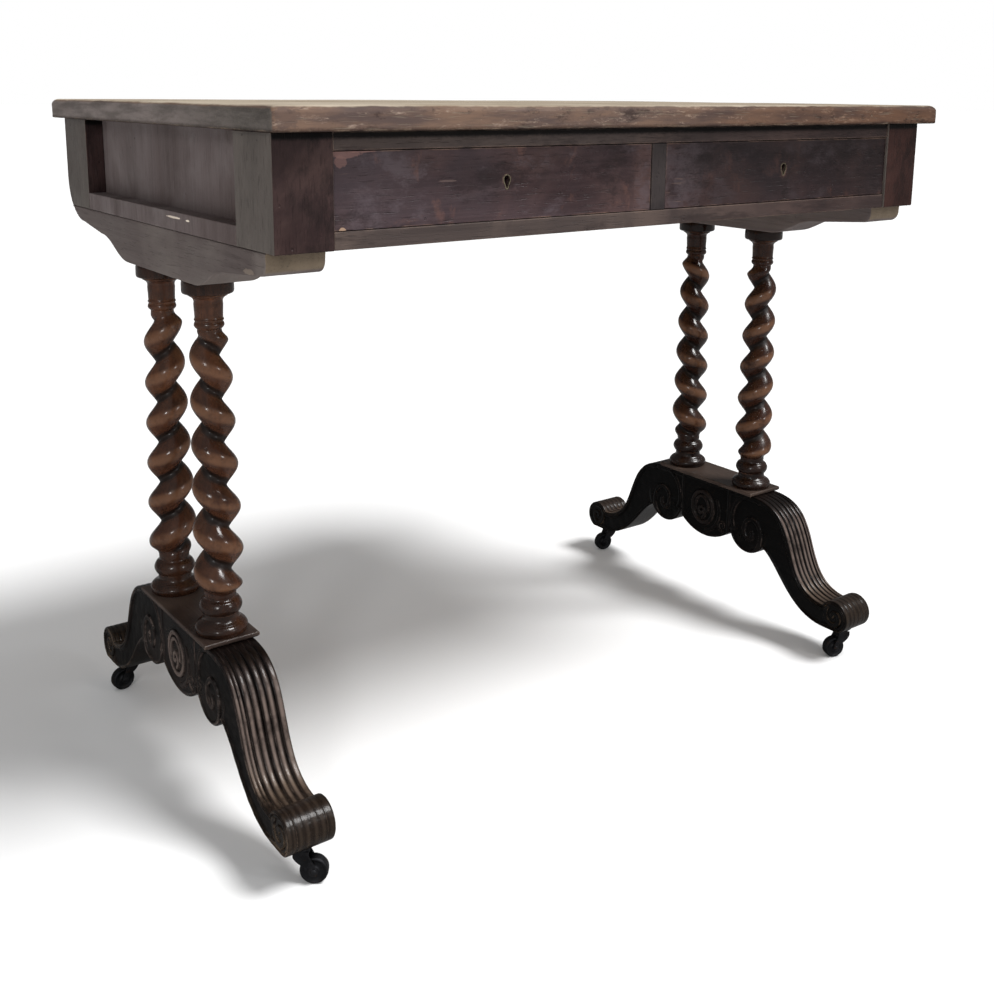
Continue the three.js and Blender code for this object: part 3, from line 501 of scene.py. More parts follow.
def metal(name, dark, light, roughness, spot_tone, spot_cover, metallic=0.75):
    """Old metal: two tones in clouds, dull spots, and brighter rubbed edges."""
    made, tree, sockets = new_material(name, Metallic=metallic)
    place = put(tree, "ShaderNodeTexCoord").outputs["Object"]
    cloud = clouds(tree, place, 70.0, 6.0, 0.65, 0.32, 0.68)
    spots = use(tree, BLOTCHES, {"Place": place, "Patches per metre": 160.0, "Cover": spot_cover,
                                 "Edge": 0.05})["Mask"]
    colour = tinted(tree, mix(tree, cloud, dark, light), spot_tone, spots, 0.8)
    rubbed = use(tree, ARRIS_WEAR, {"Place": place, "Reach": METAL_ARRIS, "Cover": 0.7})["Mask"]
    colour = tinted(tree, colour, scaled(light, 2.4), rubbed, 0.5)
    height = weighted(tree, (noise(tree, place, 900.0, 3.0, 0.6), 0.5), (spots, 0.8))
    bump = put(tree, "ShaderNodeBump", {"Height": height, "Distance": 0.00018, "Strength": 1.0})
    tree.links.new(colour, sockets["Base Color"])
    tree.links.new(ramp(tree, cloud, 0.0, 1.0, roughness - 0.1, roughness + 0.14), sockets["Roughness"])
    tree.links.new(bump.outputs[0], sockets["Normal"])
    return made


# Finishes of the separate pieces. Places are metres along an axis of the table

def shade(tree, place, colour, axis, low, high, tint):
    """The colour times a tint, from not at all at one place along an axis to wholly at another.
    Clouds make the border between them ragged."""
    reach = abs(high - low)
    cloud = times(tree, minus(tree, noise(tree, place, 2.4 / reach, 4.0), 0.5), reach * 0.8)
    share = ramp(tree, plus(tree, part(tree, place, axis), cloud), low, high)
    return mix(tree, share, colour, mix(tree, 1.0, colour, (*tint, 1), "MULTIPLY"))


def face_tone(tree, place, colour, axis, tone):
    """Another mottled tone on the faces that look along an axis."""
    narrow = vector_result(tree, "MULTIPLY", place, (18, 18, 5))
    cloud = ramp(tree, noise(tree, narrow, 1.0, 6.0, 0.65), 0.32, 0.68, 0.82, 1.2)
    return mix(tree, facing(tree, axis), colour, mix(tree, 1.0, tone, cloud, "MULTIPLY"))


def top_finish(tree, place, colour):
    """Bleached upper face and browner edges: the face's slope decides, with a ragged border. The
    ends are a paler grey, partly painted light as if lit from the side, and darker towards the
    front; the front edge gets browner towards the right."""
    ragged = times(tree, minus(tree, noise(tree, place, 24.0, 5.0, 0.7), 0.5), 0.5)
    edge = ramp(tree, plus(tree, slope(tree, Z), ragged), 0.97, 0.72)
    warm = clouds(tree, place, 2.0, 6.0, 0.65, 0.34, 0.66, (5, 5, 30))
    brown = mix(tree, warm, paint(76, 62, 58), paint(106, 84, 70))
    pale = clouds(tree, place, 2.2, 8.0, 0.85, 0.55, 0.64, (14, 14, 60))
    brown = tinted(tree, brown, paint(150, 132, 118), pale, 0.7)
    deep = clouds(tree, place, 1.6, 7.0, 0.8, 0.46, 0.34, (22, 22, 50))
    brown = tinted(tree, brown, paint(46, 34, 31), deep, 0.75)
    brown = shade(tree, place, brown, X, -0.15, 0.4, (0.68, 0.55, 0.46))
    # The ends' paler grey is partly painted light from the side.
    dull = clouds(tree, place, 3.0, 6.0, 0.7, 0.36, 0.62, (5, 5, 30))
    grey = mix(tree, dull, paint(96, 88, 84), paint(122, 112, 108))
    grey = shade(tree, place, grey, Y, 0.0, -0.25, (0.6, 0.62, 0.6))
    brown = mix(tree, facing(tree, X), brown, grey)
    brown = shade(tree, place, brown, Z, 0.7225, 0.7185, (0.4, 0.36, 0.34))
    return mix(tree, edge, colour, brown)


def apron_finish(tree, place, colour):
    """Browner on the faces towards the front and the rear. The end faces keep the apron wood's
    paler grey, which is partly painted light from the side.
    """
    return face_tone(tree, place, colour, Y, paint(100, 88, 74))


def base_finish(tree, place, colour):
    """Painted shade: blacker close under the slab, and on the right base's inner side under the
    table. An olive brown cast near the castors."""
    # Painted shade: the right base's inner side, facing the other base under the table, is nearly black.
    inner = shade(tree, place, colour, X, 0.2, 0.36, (0.12, 0.11, 0.11))
    colour = mix(tree, ramp(tree, slope(tree, X), -0.3, -0.7), colour, inner)
    # Painted shade close under the slab.
    colour = shade(tree, place, colour, Z, 0.15, 0.185, (0.5, 0.45, 0.45))
    return shade(tree, place, colour, Z, 0.11, 0.05, (1.15, 1.08, 0.85))


def column_finish(tree, place, colour):
    """Redder and lighter at the left end of the table, with darker clouds, and nearly black at the
    heads and feet."""
    colour = shade(tree, place, colour, X, -0.2, 0.3, (0.42, 0.39, 0.41))
    colour = tinted(tree, colour, paint(38, 25, 18), clouds(tree, place, 21.0, 6.0, 0.7, 0.5, 0.36), 0.55)
    colour = shade(tree, place, colour, Z, 0.549, 0.556, (0.4, 0.42, 0.46))
    return shade(tree, place, colour, Z, 0.28, 0.215, (0.4, 0.4, 0.42))


def under_top(tree, place, colour):
    """Painted shadow: the dark line in the gap just under the top."""
    return shade(tree, place, colour, Z, 0.7095, 0.7135, (0.1, 0.09, 0.09))


def rail_finish(tree, place, colour):
    """Darker towards the right, darker and redder in patches, and the painted shadow line under the top."""
    colour = shade(tree, place, colour, X, -0.15, 0.25, (0.66, 0.56, 0.58))
    deep = clouds(tree, place, 14.0, 7.0, 0.75, 0.5, 0.36, (0.6, 1, 2.5))
    return under_top(tree, place, tinted(tree, colour, paint(34, 25, 25), deep, 0.6))


def post_finish(tree, place, colour):
    """Dull grey on the faces towards the ends, paler there partly as painted light from the side,
    browner at the right front, and the painted shadow line under the top.
    """
    deep = clouds(tree, place, 16.0, 7.0, 0.75, 0.52, 0.38, (1.6, 1, 0.7))
    colour = tinted(tree, colour, paint(26, 16, 16), deep, 0.7)
    colour = shade(tree, place, colour, X, -0.1, 0.1, (0.86, 0.58, 0.48))
    # The end faces' paler grey is partly painted light from the side.
    return face_tone(tree, place, under_top(tree, place, colour), X, paint(90, 83, 78))


def drawer_finish(tree, place, colour):
    """Bluish bloom and reddish patches in the polish, darker on the right drawer."""
    bloom = clouds(tree, place, 13.0, 7.0, 0.75, 0.5, 0.64, (1, 1, 1.6))
    colour = tinted(tree, colour, paint(84, 74, 78), bloom, 0.5)
    red = clouds(tree, place, 23.0, 6.0, 0.7, 0.55, 0.68, (1.3, 1, 1.0), 0.5)
    colour = tinted(tree, colour, paint(104, 72, 62), red, 0.38)
    deep = clouds(tree, place, 11.0, 7.0, 0.75, 0.49, 0.36, (1.0, 1, 2.2))
    colour = tinted(tree, colour, paint(28, 18, 19), deep, 0.6)
    return shade(tree, place, colour, X, -0.05, 0.12, (0.44, 0.41, 0.41))


# After the name and the grain's axis come the dark and light grain, the worn patches and their
# cover, the rubbed edges and their cover, and the roughness. haze gives a tone, patches per metre,
# cover and amount. A mark has a centre and a size in millimetres, a tint, a ragged rim and an amount.
LOST_POLISH = paint(120, 88, 82)
TOP_WOOD = wood("bleached top", "x", paint(150, 136, 117), paint(176, 163, 144), paint(193, 182, 165), 0.5,
                paint(160, 140, 118), 0.45, 0.62, coarseness=0.8, streak=0.3, pore=0.35, extra=top_finish,
                haze=(paint(130, 114, 97), 3.0, 0.35, 0.5), patch_scale=4.0, worn_strength=0.5,
                marks=[((-433, -297, 730), (12, 4, 10), paint(74, 60, 56), 0.5, 0.5)])
# Its pale grey is partly painted light: the end panels and rails are lifted as if lit from the side.
END_WOOD = wood("dull end wood", "z", paint(86, 75, 73), paint(108, 98, 97), paint(122, 114, 113), 0.4,
                paint(146, 134, 124), 0.35, 0.6, coarseness=0.7, streak=0.3, pore=0.2, mirror=0.12,
                haze=(paint(76, 62, 59), 5.0, 0.4, 0.4),
                marks=[((-END_OUTER, -55, 629.6), (6, 18, 1.1), paint(214, 200, 184), 0.5, 0.9),
                       ((-END_OUTER, -91, 629.2), (6, 4, 1.0), paint(220, 208, 190), 0.5, 0.9)])
# Its pale grey is partly painted light: the apron's end faces are lifted as if lit from the side.
APRON_WOOD = wood("apron wood", "y", paint(84, 74, 72), paint(102, 93, 90), paint(113, 105, 100), 0.4,
                  paint(140, 127, 114), 0.45, 0.58, coarseness=0.8, streak=0.3, pore=0.25, mirror=0.12,
                  extra=apron_finish,
                  marks=[((-END_OUTER, -190, 587.5), (5, 8, 2.5), paint(140, 126, 112), 0.6, 0.5),
                         ((-END_OUTER, -225, 597), (5, 10, 2.5), paint(140, 126, 112), 0.6, 0.5)])
RAIL_WOOD = wood("greyed rail wood", "x", paint(58, 49, 47), paint(76, 65, 61), paint(92, 78, 71), 0.45,
                 paint(138, 114, 98), 0.6, 0.5, coarseness=0.9, streak=0.3, extra=rail_finish)
MUNTIN_WOOD = wood("muntin wood", "z", paint(37, 32, 32), paint(50, 44, 45), paint(62, 54, 53), 0.4,
                   paint(112, 98, 88), 0.5, 0.5, coarseness=0.9, streak=0.3)
POST_WOOD = wood("red brown pilaster", "z", paint(43, 28, 28), paint(60, 42, 42), paint(78, 58, 54), 0.42,
                 paint(112, 88, 76), 0.4, 0.45, coarseness=0.9, haze=(paint(34, 20, 18), 9.0, 0.4, 0.6),
                 extra=post_finish)
DRAWER_WOOD = wood("drawer front wood", "x", paint(42, 29, 30), paint(66, 50, 51), paint(88, 64, 60), 0.4,
                   paint(126, 100, 86), 0.5, 0.36, coarseness=0.8, coat=0.1, scuff=0.5,
                   haze=(paint(72, 66, 74), 4.0, 0.35, 0.4), extra=drawer_finish,
                   marks=[((-367, DRAWER_FACE, 698.5), (14, 4, 3.6), LOST_POLISH, 0.35, 0.6),
                          ((-350, DRAWER_FACE, 701.5), (15, 4, 2.2), LOST_POLISH, 0.35, 0.6),
                          ((-372, DRAWER_FACE, 692), (6, 4, 5), LOST_POLISH, 0.35, 0.5),
                          ((-370.8, DRAWER_FACE, 633.7), (3.2, 4, 2.2), paint(160, 132, 110), 0.4, 0.8),
                          ((-262, DRAWER_FACE, 672), (10, 4, 1.0), paint(110, 92, 86), 0.3, 0.4),
                          ((199.9, DRAWER_FACE, 704), (5, 4, 3), paint(130, 104, 88), 0.5, 0.6),
                          ((365.2, DRAWER_FACE, 630.5), (3.0, 4, 2.0), paint(140, 116, 98), 0.4, 0.7)])
INSIDE_WOOD = wood("bare inside wood", "y", paint(120, 94, 68), paint(148, 120, 88), paint(164, 137, 105),
                   0.4, paint(176, 150, 116), 0.4, 0.75, coarseness=1.1, streak=0.3, pore=0.35,
                   haze=(paint(90, 70, 51), 4.0, 0.4, 0.5))
BACK_WOOD = wood("old unpolished back", "x", paint(84, 64, 48), paint(118, 94, 70), paint(134, 110, 86), 0.4,
                 paint(146, 122, 96), 0.4, 0.75, streak=0.55, pore=0.5, mirror=0.12,
                 haze=(paint(62, 46, 35), 3.0, 0.5, 0.5))
COLUMN_WOOD = wood("polished column wood", "z", paint(52, 30, 20), paint(94, 58, 39), paint(106, 69, 46),
                   0.35, paint(122, 86, 62), 0.5, 0.2, coarseness=1.2, streak=0.4, coat=0.3, carved=True,
                   haze=(paint(46, 26, 20), 9.0, 0.4, 0.6), worn_strength=0.5, grain_height=0.0002,
                   extra=column_finish, mirror=0.25, hollow_dark=0.1, rough_spread=0.07)
SLAB_WOOD = wood("base slab wood", "y", paint(48, 37, 33), paint(70, 57, 51), paint(90, 76, 67), 0.4,
                 paint(122, 108, 96), 0.7, 0.34, streak=0.4, coat=0.1, grain_height=0.00025,
                 haze=(paint(32, 24, 21), 8.0, 0.4, 0.6))
BASE_WOOD = wood("black brown base wood", "y", paint(17, 12, 10), paint(30, 23, 20), paint(44, 34, 30), 0.35,
                 paint(112, 98, 91), 0.5, 0.28, coarseness=1.1, streak=0.4, coat=0.08, carved=True,
                 haze=(paint(13, 9, 8), 8.0, 0.4, 0.6), grain_height=0.00025, hollow_dark=0.08,
                 extra=base_finish, edge_too=True, rough_spread=0.09, mirror=0.14)
IRON = metal("black iron", paint(22, 22, 24), paint(42, 42, 45), 0.5, paint(50, 38, 31), 0.25)
BRASS = metal("dull brass", paint(92, 84, 72), paint(124, 114, 96), 0.42, paint(60, 52, 44), 0.35, 0.9)


# Top board

def board_ring(inset, height, sides=(160, 110), corner_steps=8):
    """A rectangle with rounded corners, inset from the board's edge. Each side keeps its count of
    places, so rings of any inset join place by place."""
    half = np.array([TOP_LENGTH / 2 - inset, max(TOP_DEPTH / 2 - inset, 0)])
    radius = min(TOP_CORNER, half[1])
    corners = [(1, 1), (-1, 1), (-1, -1), (1, -1)]
    points = []
    for corner, place in enumerate(corners):
        centre = (half - radius) * place
        angle = (corner + np.linspace(0, 1, corner_steps)) * math.pi / 2
        points.append(centre + radius * np.stack([np.cos(angle), np.sin(angle)], -1))
        after = (half - radius) * corners[(corner + 1) % 4]
        turn = (corner + 1) * math.pi / 2
        rim = radius * np.array([math.cos(turn), math.sin(turn)])
        share = np.linspace(0, 1, sides[corner % 2] + 2)[1:-1, None]
        points.append((centre + rim) * (1 - share) + (after + rim) * share)
    ring = np.concatenate(points)
    ring = np.concatenate([ring, ring[:1]])
    return np.concatenate([ring, np.full((len(ring), 1), height)], -1)


def edge_dents(x, y, z, count=70):
    """Depth of small round knocks, most of them on the upper arris of the edge: each falls off
    from its middle as the bell curve of the distance over its size."""
    half_x, half_y = TOP_LENGTH / 2, TOP_DEPTH / 2
    rng = np.random.default_rng(4)
    dents = np.zeros_like(x)
    for _ in range(count):
        side = rng.integers(4)
        cx = rng.uniform(-440, 440) if side < 2 else (half_x, -half_x)[side - 2]
        cy = (-half_y, half_y)[side] if side < 2 else rng.uniform(-290, 290)
        size, depth = rng.uniform(2.5, 9), rng.uniform(0.25, 1.1)
        cz = rng.choice([TOP_HEIGHT - 1, TOP_UNDER + 1], p=[0.75, 0.25])
        dents += depth * np.exp(-((x - cx) ** 2 + (y - cy) ** 2 + (z - cz) ** 2) / size ** 2)
    return dents


def top_board():
    """Rings from the middle of the underside out to the edge, up round it and back to the middle
    of the upper face. The edge has shallow dents, and the upper face a slight swell."""
    middle = TOP_DEPTH / 2
    round_start = TOP_HEIGHT - TOP_ROUND
    levels = [(d, TOP_UNDER) for d in (middle, 150, 2)] + [(0.6, TOP_UNDER + 0.3), (0, TOP_UNDER + 1)]
    levels += [(0, z) for z in np.linspace(TOP_UNDER + 2, round_start - 0.5, 8)]
    levels += [(TOP_ROUND * (1 - math.cos(a)), round_start + TOP_ROUND * math.sin(a))
               for a in np.linspace(0, math.pi / 2, 14)]
    levels += [(d, TOP_HEIGHT) for d in (8.5, 11, 15, 21, 30, 45, 65, 90, 120, 160, 200, 250, middle)]
    rings = np.stack([board_ring(inset, height) for inset, height in levels])
    x, y, z = rings[..., 0], rings[..., 1], rings[..., 2]
    dents = edge_dents(x, y, z)
    rim = smooth_step(np.maximum(abs(x) - 420, 0) + np.maximum(abs(y) - 270, 0), 4, 20)
    swell = 0.35 * np.maximum(1 + waves((x, y), 3, 220), 0) * (z > TOP_HEIGHT - 5)
    rings[..., 2] = np.where(z > TOP_UNDER + 10, z - swell * 0.6 - dents * 0.6, z + dents * 0.4)
    wobble = (0.25 * np.maximum(1 + waves((x, y, z * 3), 9, 60), 0) + dents) * rim
    rings[..., 0] = x - np.sign(x) * wobble * (abs(x) > 430)
    rings[..., 1] = y - np.sign(y) * wobble * (abs(y) > 280)
    piece("top_boards", [rings], TOP_WOOD, "frame", ["top_board"])


# Aprons, base blocks and legs: a band between an upper and a lower path

def band(top, under, insets, across, side_rows, side_relief=None):
    """A solid whose side face lies between two paths of equal count, and which reaches across X.
    insets holds, for each place across, how far the top and the under path move inwards. The two
    side faces are grids from the top path to the under path, lowered by side_relief(y, z)."""
    to_inside_top, to_inside_under = inward(top, 1), inward(under, -1)
    share = np.linspace(0, 1, side_rows)[:, None]

    def edges(inset_top, inset_under):
        """Both paths, each moved inwards along its normals."""
        return (top + to_inside_top * np.reshape(inset_top, (-1, 1)),
                under + to_inside_under * np.reshape(inset_under, (-1, 1)))

    rows = []
    for x, inset in zip(across, insets):
        upper, lower = edges(*inset)
        loop = np.concatenate([upper, (upper[-1] * (1 - share) + lower[-1] * share)[1:-1], lower[::-1],
                               (lower[0] * (1 - share) + upper[0] * share)[1:]])
        rows.append(np.column_stack([np.full(len(loop), x), loop]))
    sides = []
    for x, inset in ((across[0], insets[0]), (across[-1], insets[-1])):
        upper, lower = edges(*inset)
        face = upper[None] * (1 - share[:, :, None]) + lower[None] * share[:, :, None]
        height = np.zeros(face.shape[:2])
        if side_relief:
            height = side_relief(face[..., 0], face[..., 1])
            height[0] = height[-1] = height[:, 0] = height[:, -1] = 0
        sides.append((np.dstack([x + np.sign(x) * height, face]), height))
    return np.stack(rows), sides


def arris_places(half, radius, count_inner, count_round=5):
    """Places across a width, close together at both rounded arrises."""
    edge = half - radius + radius * np.sin(np.linspace(0, math.pi / 2, count_round))
    inner = np.linspace(-(half - radius), half - radius, count_inner)
    return np.unique(np.round(np.concatenate([-edge, inner, edge]), 5))


def arris_inset(x, half, radius):
    """How far a rounded arris moves the surface in at a place across."""
    over = np.maximum(abs(x) - (half - radius), 0)
    return radius - np.sqrt(np.maximum(radius ** 2 - over ** 2, 0))


def level_bend(start, end, share=0.4):
    """A curve that leaves its start and meets its end level. The share of the way across sets how
    far it stays near each."""
    reach = (end[0] - start[0]) * share
    return bend(start, (start[0] + reach, start[1]), (end[0] - reach, end[1]), end, 50)


def apron(word, side, steps=420):
    """Level in the middle. At the front an S rises to a tip with a round corner, and at the rear
    an S rises into a hollow quarter round that runs up the post."""
    tip = arc((APRON_TIP - APRON_REACH, 607.5), APRON_TIP, 180, 270, 24)
    front = level_bend((-172, 589.5), (-98, APRON_BOTTOM))
    rear = level_bend((84, APRON_BOTTOM), (165, 591.5))
    quarter_round = arc((226.5, 650), 50, -90, -42.53, 40)
    under = along(np.concatenate([tip, front, rear, quarter_round]), steps)
    top = np.stack([np.linspace(under[0, 0], under[-1, 0], steps), np.full(steps, FRIEZE_BOTTOM - SEAM)], -1)
    across = arris_places(END_THICKNESS / 2, APRON_ARRIS, 9)
    insets = [(arris_inset(x, END_THICKNESS / 2, APRON_ARRIS),) * 2 for x in across]
    body, sides = band(top, under, insets, across, 14)
    shift = np.array([side * (END_OUTER - END_THICKNESS / 2), 0, 0])
    piece(f"{word}_shaped_apron", [body + shift] + [s[0] + shift for s in sides], APRON_WOOD,
          "frame", [f"{word}_apron"])


def carve(height, path, y, z, half, crown, beside):
    """Adds a rounded bead along a path, with a fine cut on both sides of it."""
    share = gap_to(path, y, z) / half
    cut = height - beside * (1 - smooth_step(share, 1.0, 1.0 + 1.6 / half))
    bead = crown * np.sqrt(np.maximum(1 - share ** 2, 0)) ** 0.8 + cut * 0.35
    return np.where(share < 1, np.maximum(bead, cut), cut)


def carving_marks(hollow, rubbed, sides, depth, spread):
    """Marks of a carved piece: those of its body, and on its side faces hollow where the surface
    lies deeper than a depth and rubbed where it stands proud. The finish paints the hollows dark
    with shade and wax."""
    return {"hollow": [hollow] + [np.clip((-height - depth) / spread, 0, 1) for _, height in sides],
            "rubbed": [rubbed] + [np.clip((height - 0.2) / 0.8, 0, 1) for _, height in sides]}


LEG_STEPS, ROLL_STEPS = 210, 96


def leg_paths():
    """The upper path runs from the centre block over the shoulder, down to the crease and round
    the roll to the castor's seat. The under path runs round the knee and along under the leg."""
    inner = BLOCK_HALF + SEAM
    shoulder, seat_end, split_place = (93, BLOCK_TOP), (225, CASTOR_HEIGHT), (214, 44)
    crease_angle, notch_angle, knee_start = 150, -32, -165
    crease = arc(ROLL, ROLL_RADIUS, crease_angle, crease_angle, 1)[0]
    seat_angle = -math.degrees(math.asin((ROLL[1] - CASTOR_HEIGHT) / ROLL_RADIUS))
    notch = arc(KNEE, KNEE_RADIUS, notch_angle, notch_angle, 1)[0]
    down = bend_between(shoulder, crease, (0.7, 0), (0.38, 0.95))
    over = along(np.concatenate([[[inner, BLOCK_TOP]], down]), LEG_STEPS)
    round_roll = arc(ROLL, ROLL_RADIUS, crease_angle, seat_angle, 90)
    roll = along(np.concatenate([round_roll, [seat_end]]), ROLL_STEPS)
    low = bend_between(seat_end, notch, (0.545, 0), (0.735, 0.825))[::-1]
    knee = arc(KNEE, KNEE_RADIUS, knee_start, notch_angle)
    beneath = np.concatenate([[[inner, knee[0, 1]]], knee, low[1:]])
    split = int(np.argmin(np.hypot(beneath[:, 0] - split_place[0], beneath[:, 1] - split_place[1])))
    first = along(beneath[:split + 1], LEG_STEPS)
    second = along(beneath[split:], ROLL_STEPS)
    return np.concatenate([over, roll[1:]]), np.concatenate([first, second[1:]])


LEG_TOP, LEG_UNDER = leg_paths()
# Lines between the reeds: place across from the outer edge at -25, and depth
REED_LINES = [(-25, 0.5), (-20.6, 1.3), (-16.2, 2.5), (-8.2, 1.6), (0, 2.7), (8.2, 1.7), (16.4, 2.4),
              (25, 0.7)]
# Beads carved on a leg's side, each with its half width, its crown and the cut beside it: an arch,
# a hooked curl at the knee and a small curl on the roll
LEG_BEADS = [(curl((88, 148), (34.5, 34.5), (66, 206), 1.086), 2.8, 0.8, 1.0),
             (curl((88, 134), (23, 3.5), (-84, 372), 1.3), 3.0, 1.2, 1.0),
             (curl(ROLL, (15, 3.0), (140, 520), 1.05), 2.9, 0.9, 0.9)]
# Beads of the centre block: an oval ring, a second one inside its upper half, a curl in the
# middle, an arc beside the ring and a small hook on the lobe
BLOCK_BEADS = [(curl((5, 146), (20.5, 20.5), (-40, 320), 1.15, 160), 2.9, 2.0, 1.0),
               (curl((6, 146), (14, 12), (-20, 200), 1.25), 2.3, 1.6, 0.8),
               (curl((8, 139), (8.5, 1.5), (250, -150), 1.2), 2.4, 1.7, 0.8),
               (curl((2, 146), (29, 31), (150, 262), 1.12), 2.4, 0.9, 0.7),
               (curl((-35, 128), (9, 2.5), (-95, 215)), 1.8, 0.8, 0.7)]
# Profiles beside an edge: distance from the edge, and height
REEDED_EDGE = [0, 0.8, 1.9, 3.1, 3.7, 4.5, 5.9, 7.2, 8.4], [0, 0.5, 0.5, 0, -1.0, 0.1, 0.1, -0.7, -1.9]
UNDER_EDGE = [0, 1.0, 2.7, 4.4], [0, 0.5, 0.3, -1.9]
LOBE_EDGE = [0, 1.2, 3.2, 4.6, 6.5], [0, 0.6, 0.4, -1.4, -1.3]
JOINT_EDGE = [0, 1, 3, 4.4, 7], [0, 0.3, 0.2, -1.0, -0.8]
UPPER_EDGE = [0, 2.5, 4.5], [0, 0, -0.8]


def leg_relief(seed):
    """Carving of a leg's side face: two beads beside the reeded edge, a plain sunk field, a bead
    along the under edge, and the beads of the leg. The field is deepest inside the arch."""
    def relief(y, z):
        """Height over the side face: the highest of both edges and the field, then the beads."""
        edge = np.interp(gap_to(LEG_TOP[::2], y, z), *REEDED_EDGE)
        low = np.interp(gap_to(LEG_UNDER[::2], y, z), *UNDER_EDGE)
        arch_share = np.hypot((y - 88) / 35, (z - 148) / 38)
        knee_share = np.hypot((y - 87) / 33, (z - 137) / 30)
        roll_share = np.hypot(y - ROLL[0], z - ROLL[1]) / ROLL_RADIUS
        field = -1.9 + 1.2 * smooth_step(-y, -84, -72)
        field = field + (-1.1 - field) * (1 - smooth_step(knee_share, 0.94, 1.04))
        field = field - 2.0 * smooth_step(z, 136, 154) * (1 - smooth_step(arch_share, 0.8, 0.98))
        field = field + (-1.4 - field) * (1 - smooth_step(roll_share, 0.8, 0.95))
        height = np.maximum(np.maximum(edge, low), field)
        for path, *bead in LEG_BEADS:
            height = carve(height, path, y, z, *bead)
        return height + 0.15 * waves((y, z), seed, 16)
    return relief


def reed_cut(place):
    """How far the surface lies below the crowns of the reeds at a place across: a round ridge
    between each line and the next, as deep at its sides as those lines are."""
    for (left, left_deep), (right, right_deep) in zip(REED_LINES, REED_LINES[1:]):
        if left <= place <= right:
            share = (place - (left + right) / 2) / ((right - left) / 2)
            return (left_deep if share < 0 else right_deep) * (1 - math.sqrt(max(1 - abs(share) ** 2.2, 0)))
    return 0.0


def leg(word, side, front, seed):
    """Reeds run down the upper path to the crease and fade out round the roll: rounded ridges with
    sharp lines between them. Both side faces are carved."""
    half = LEG_WIDTH / 2
    across = np.unique(np.concatenate([arris_places(half, BASE_ARRIS, 47, 4),
                                       [-side * line for line, _ in REED_LINES[1:-1]]]))
    way = way_along(LEG_TOP)
    crease, last = way[LEG_STEPS - 1], way[-1]
    deep_share = np.interp(way, [0, 41, 52, 80, crease - 34, crease, crease + 9, last - 40, last - 28],
                           [0, 0, 0.6, 1, 1, 0.34, 0.12, 0.1, 0])
    insets, hollow, rubbed = [], [], []
    for x in across:
        cut = reed_cut(x * side * -1)
        hand = 0.22 * abs(waves((LEG_TOP[:, 0] + x * 0.2, LEG_TOP[:, 1]), seed + int((x + 25) // 10), 40))
        arris = arris_inset(x, half, BASE_ARRIS)
        insets.append((arris + deep_share * (cut + hand), arris))
        # The lines between the reeds get painted shade with dark wax.
        hollow.append(np.sqrt(deep_share) * np.clip((cut - 0.35) / 0.9, 0, 1))
        rubbed.append(deep_share * np.clip(1 - cut / 0.3, 0, 1) * smooth_step(way, 70, 110))
    body, sides = band(LEG_TOP, LEG_UNDER, insets, across, 80, leg_relief(seed))
    plain = np.zeros((len(across), body.shape[1] - len(LEG_TOP)))
    marks = carving_marks(np.hstack([hollow, plain]), np.hstack([rubbed, plain]), sides, 0.6, 2.0)
    grids = [g * (1, front, 1) + (side * COLUMN_X, 0, 0) for g in (body, *(face for face, _ in sides))]
    end = "front" if front < 0 else "rear"
    piece(f"{word}_{end}_scroll_leg", grids, BASE_WOOD, "frame", [f"{word}_{end}_leg"], marks)


def block_relief(y, z):
    """Carving of the centre block: a bead along the lobe and one along each joint, and the beads of
    the block on a field that is sunk inside the ring and low on the lobe."""
    from_low = z - (LOBE_CENTRE - np.sqrt(np.maximum(LOBE_RADIUS ** 2 - y ** 2, 0)))
    edge = np.maximum(np.interp(from_low, *LOBE_EDGE), np.interp(BLOCK_HALF - abs(y), *JOINT_EDGE))
    upper = np.interp(BLOCK_TOP - z, *UPPER_EDGE)
    share = np.hypot((y - 5) / 22.5, (z - 146) / 25)
    field = -0.9 - 1.5 * (1 - smooth_step(share, 0.8, 1.0)) - 0.7 * smooth_step(-z, -136, -118)
    height = np.maximum(np.maximum(edge, upper), field)
    for path, *bead in BLOCK_BEADS:
        height = carve(height, path, y, z, *bead)
    return height


def centre_block(word, side, steps=140):
    """Straight joints to both legs, and a round lobe below."""
    half = math.degrees(math.asin(BLOCK_HALF / LOBE_RADIUS))
    under = along(arc((0, LOBE_CENTRE), LOBE_RADIUS, -90 - half, -90 + half, 80), steps)
    top = np.stack([under[:, 0], np.full(steps, BLOCK_TOP)], -1)
    across = arris_places(LEG_WIDTH / 2, BASE_ARRIS, 9)
    insets = [(arris_inset(x, LEG_WIDTH / 2, BASE_ARRIS),) * 2 for x in across]
    body, sides = band(top, under, insets, across, 110, block_relief)
    shift = np.array([side * COLUMN_X, 0, 0])
    plain = np.zeros(body.shape[:2])
    piece(f"{word}_arched_block", [body + shift] + [s[0] + shift for s in sides], BASE_WOOD,
          "frame", [f"{word}_base_centre"], carving_marks(plain, plain, sides, 0.5, 1.6))


# Barley twist columns

def turned_path(rows, steps=12):
    """An outline for turning. Each row ends a line, a bead that bulges out or a cove that sinks
    in, at a radius and a height."""
    points = [np.array([[rows[0][1], rows[0][2]]], float)]
    for way, radius, height in rows[1:]:
        start, end = points[-1][-1], np.array([radius, height], float)
        t = np.linspace(0, 1, (2 if way == "line" else steps) + 1)[1:, None]
        chord = end - start
        outward = np.array([chord[1], -chord[0]])
        swell = {"line": 0, "bead": 0.2, "cove": -0.2}[way]
        points.append(start + chord * t + outward * swell * np.sin(math.pi * t))
    return np.concatenate(points)


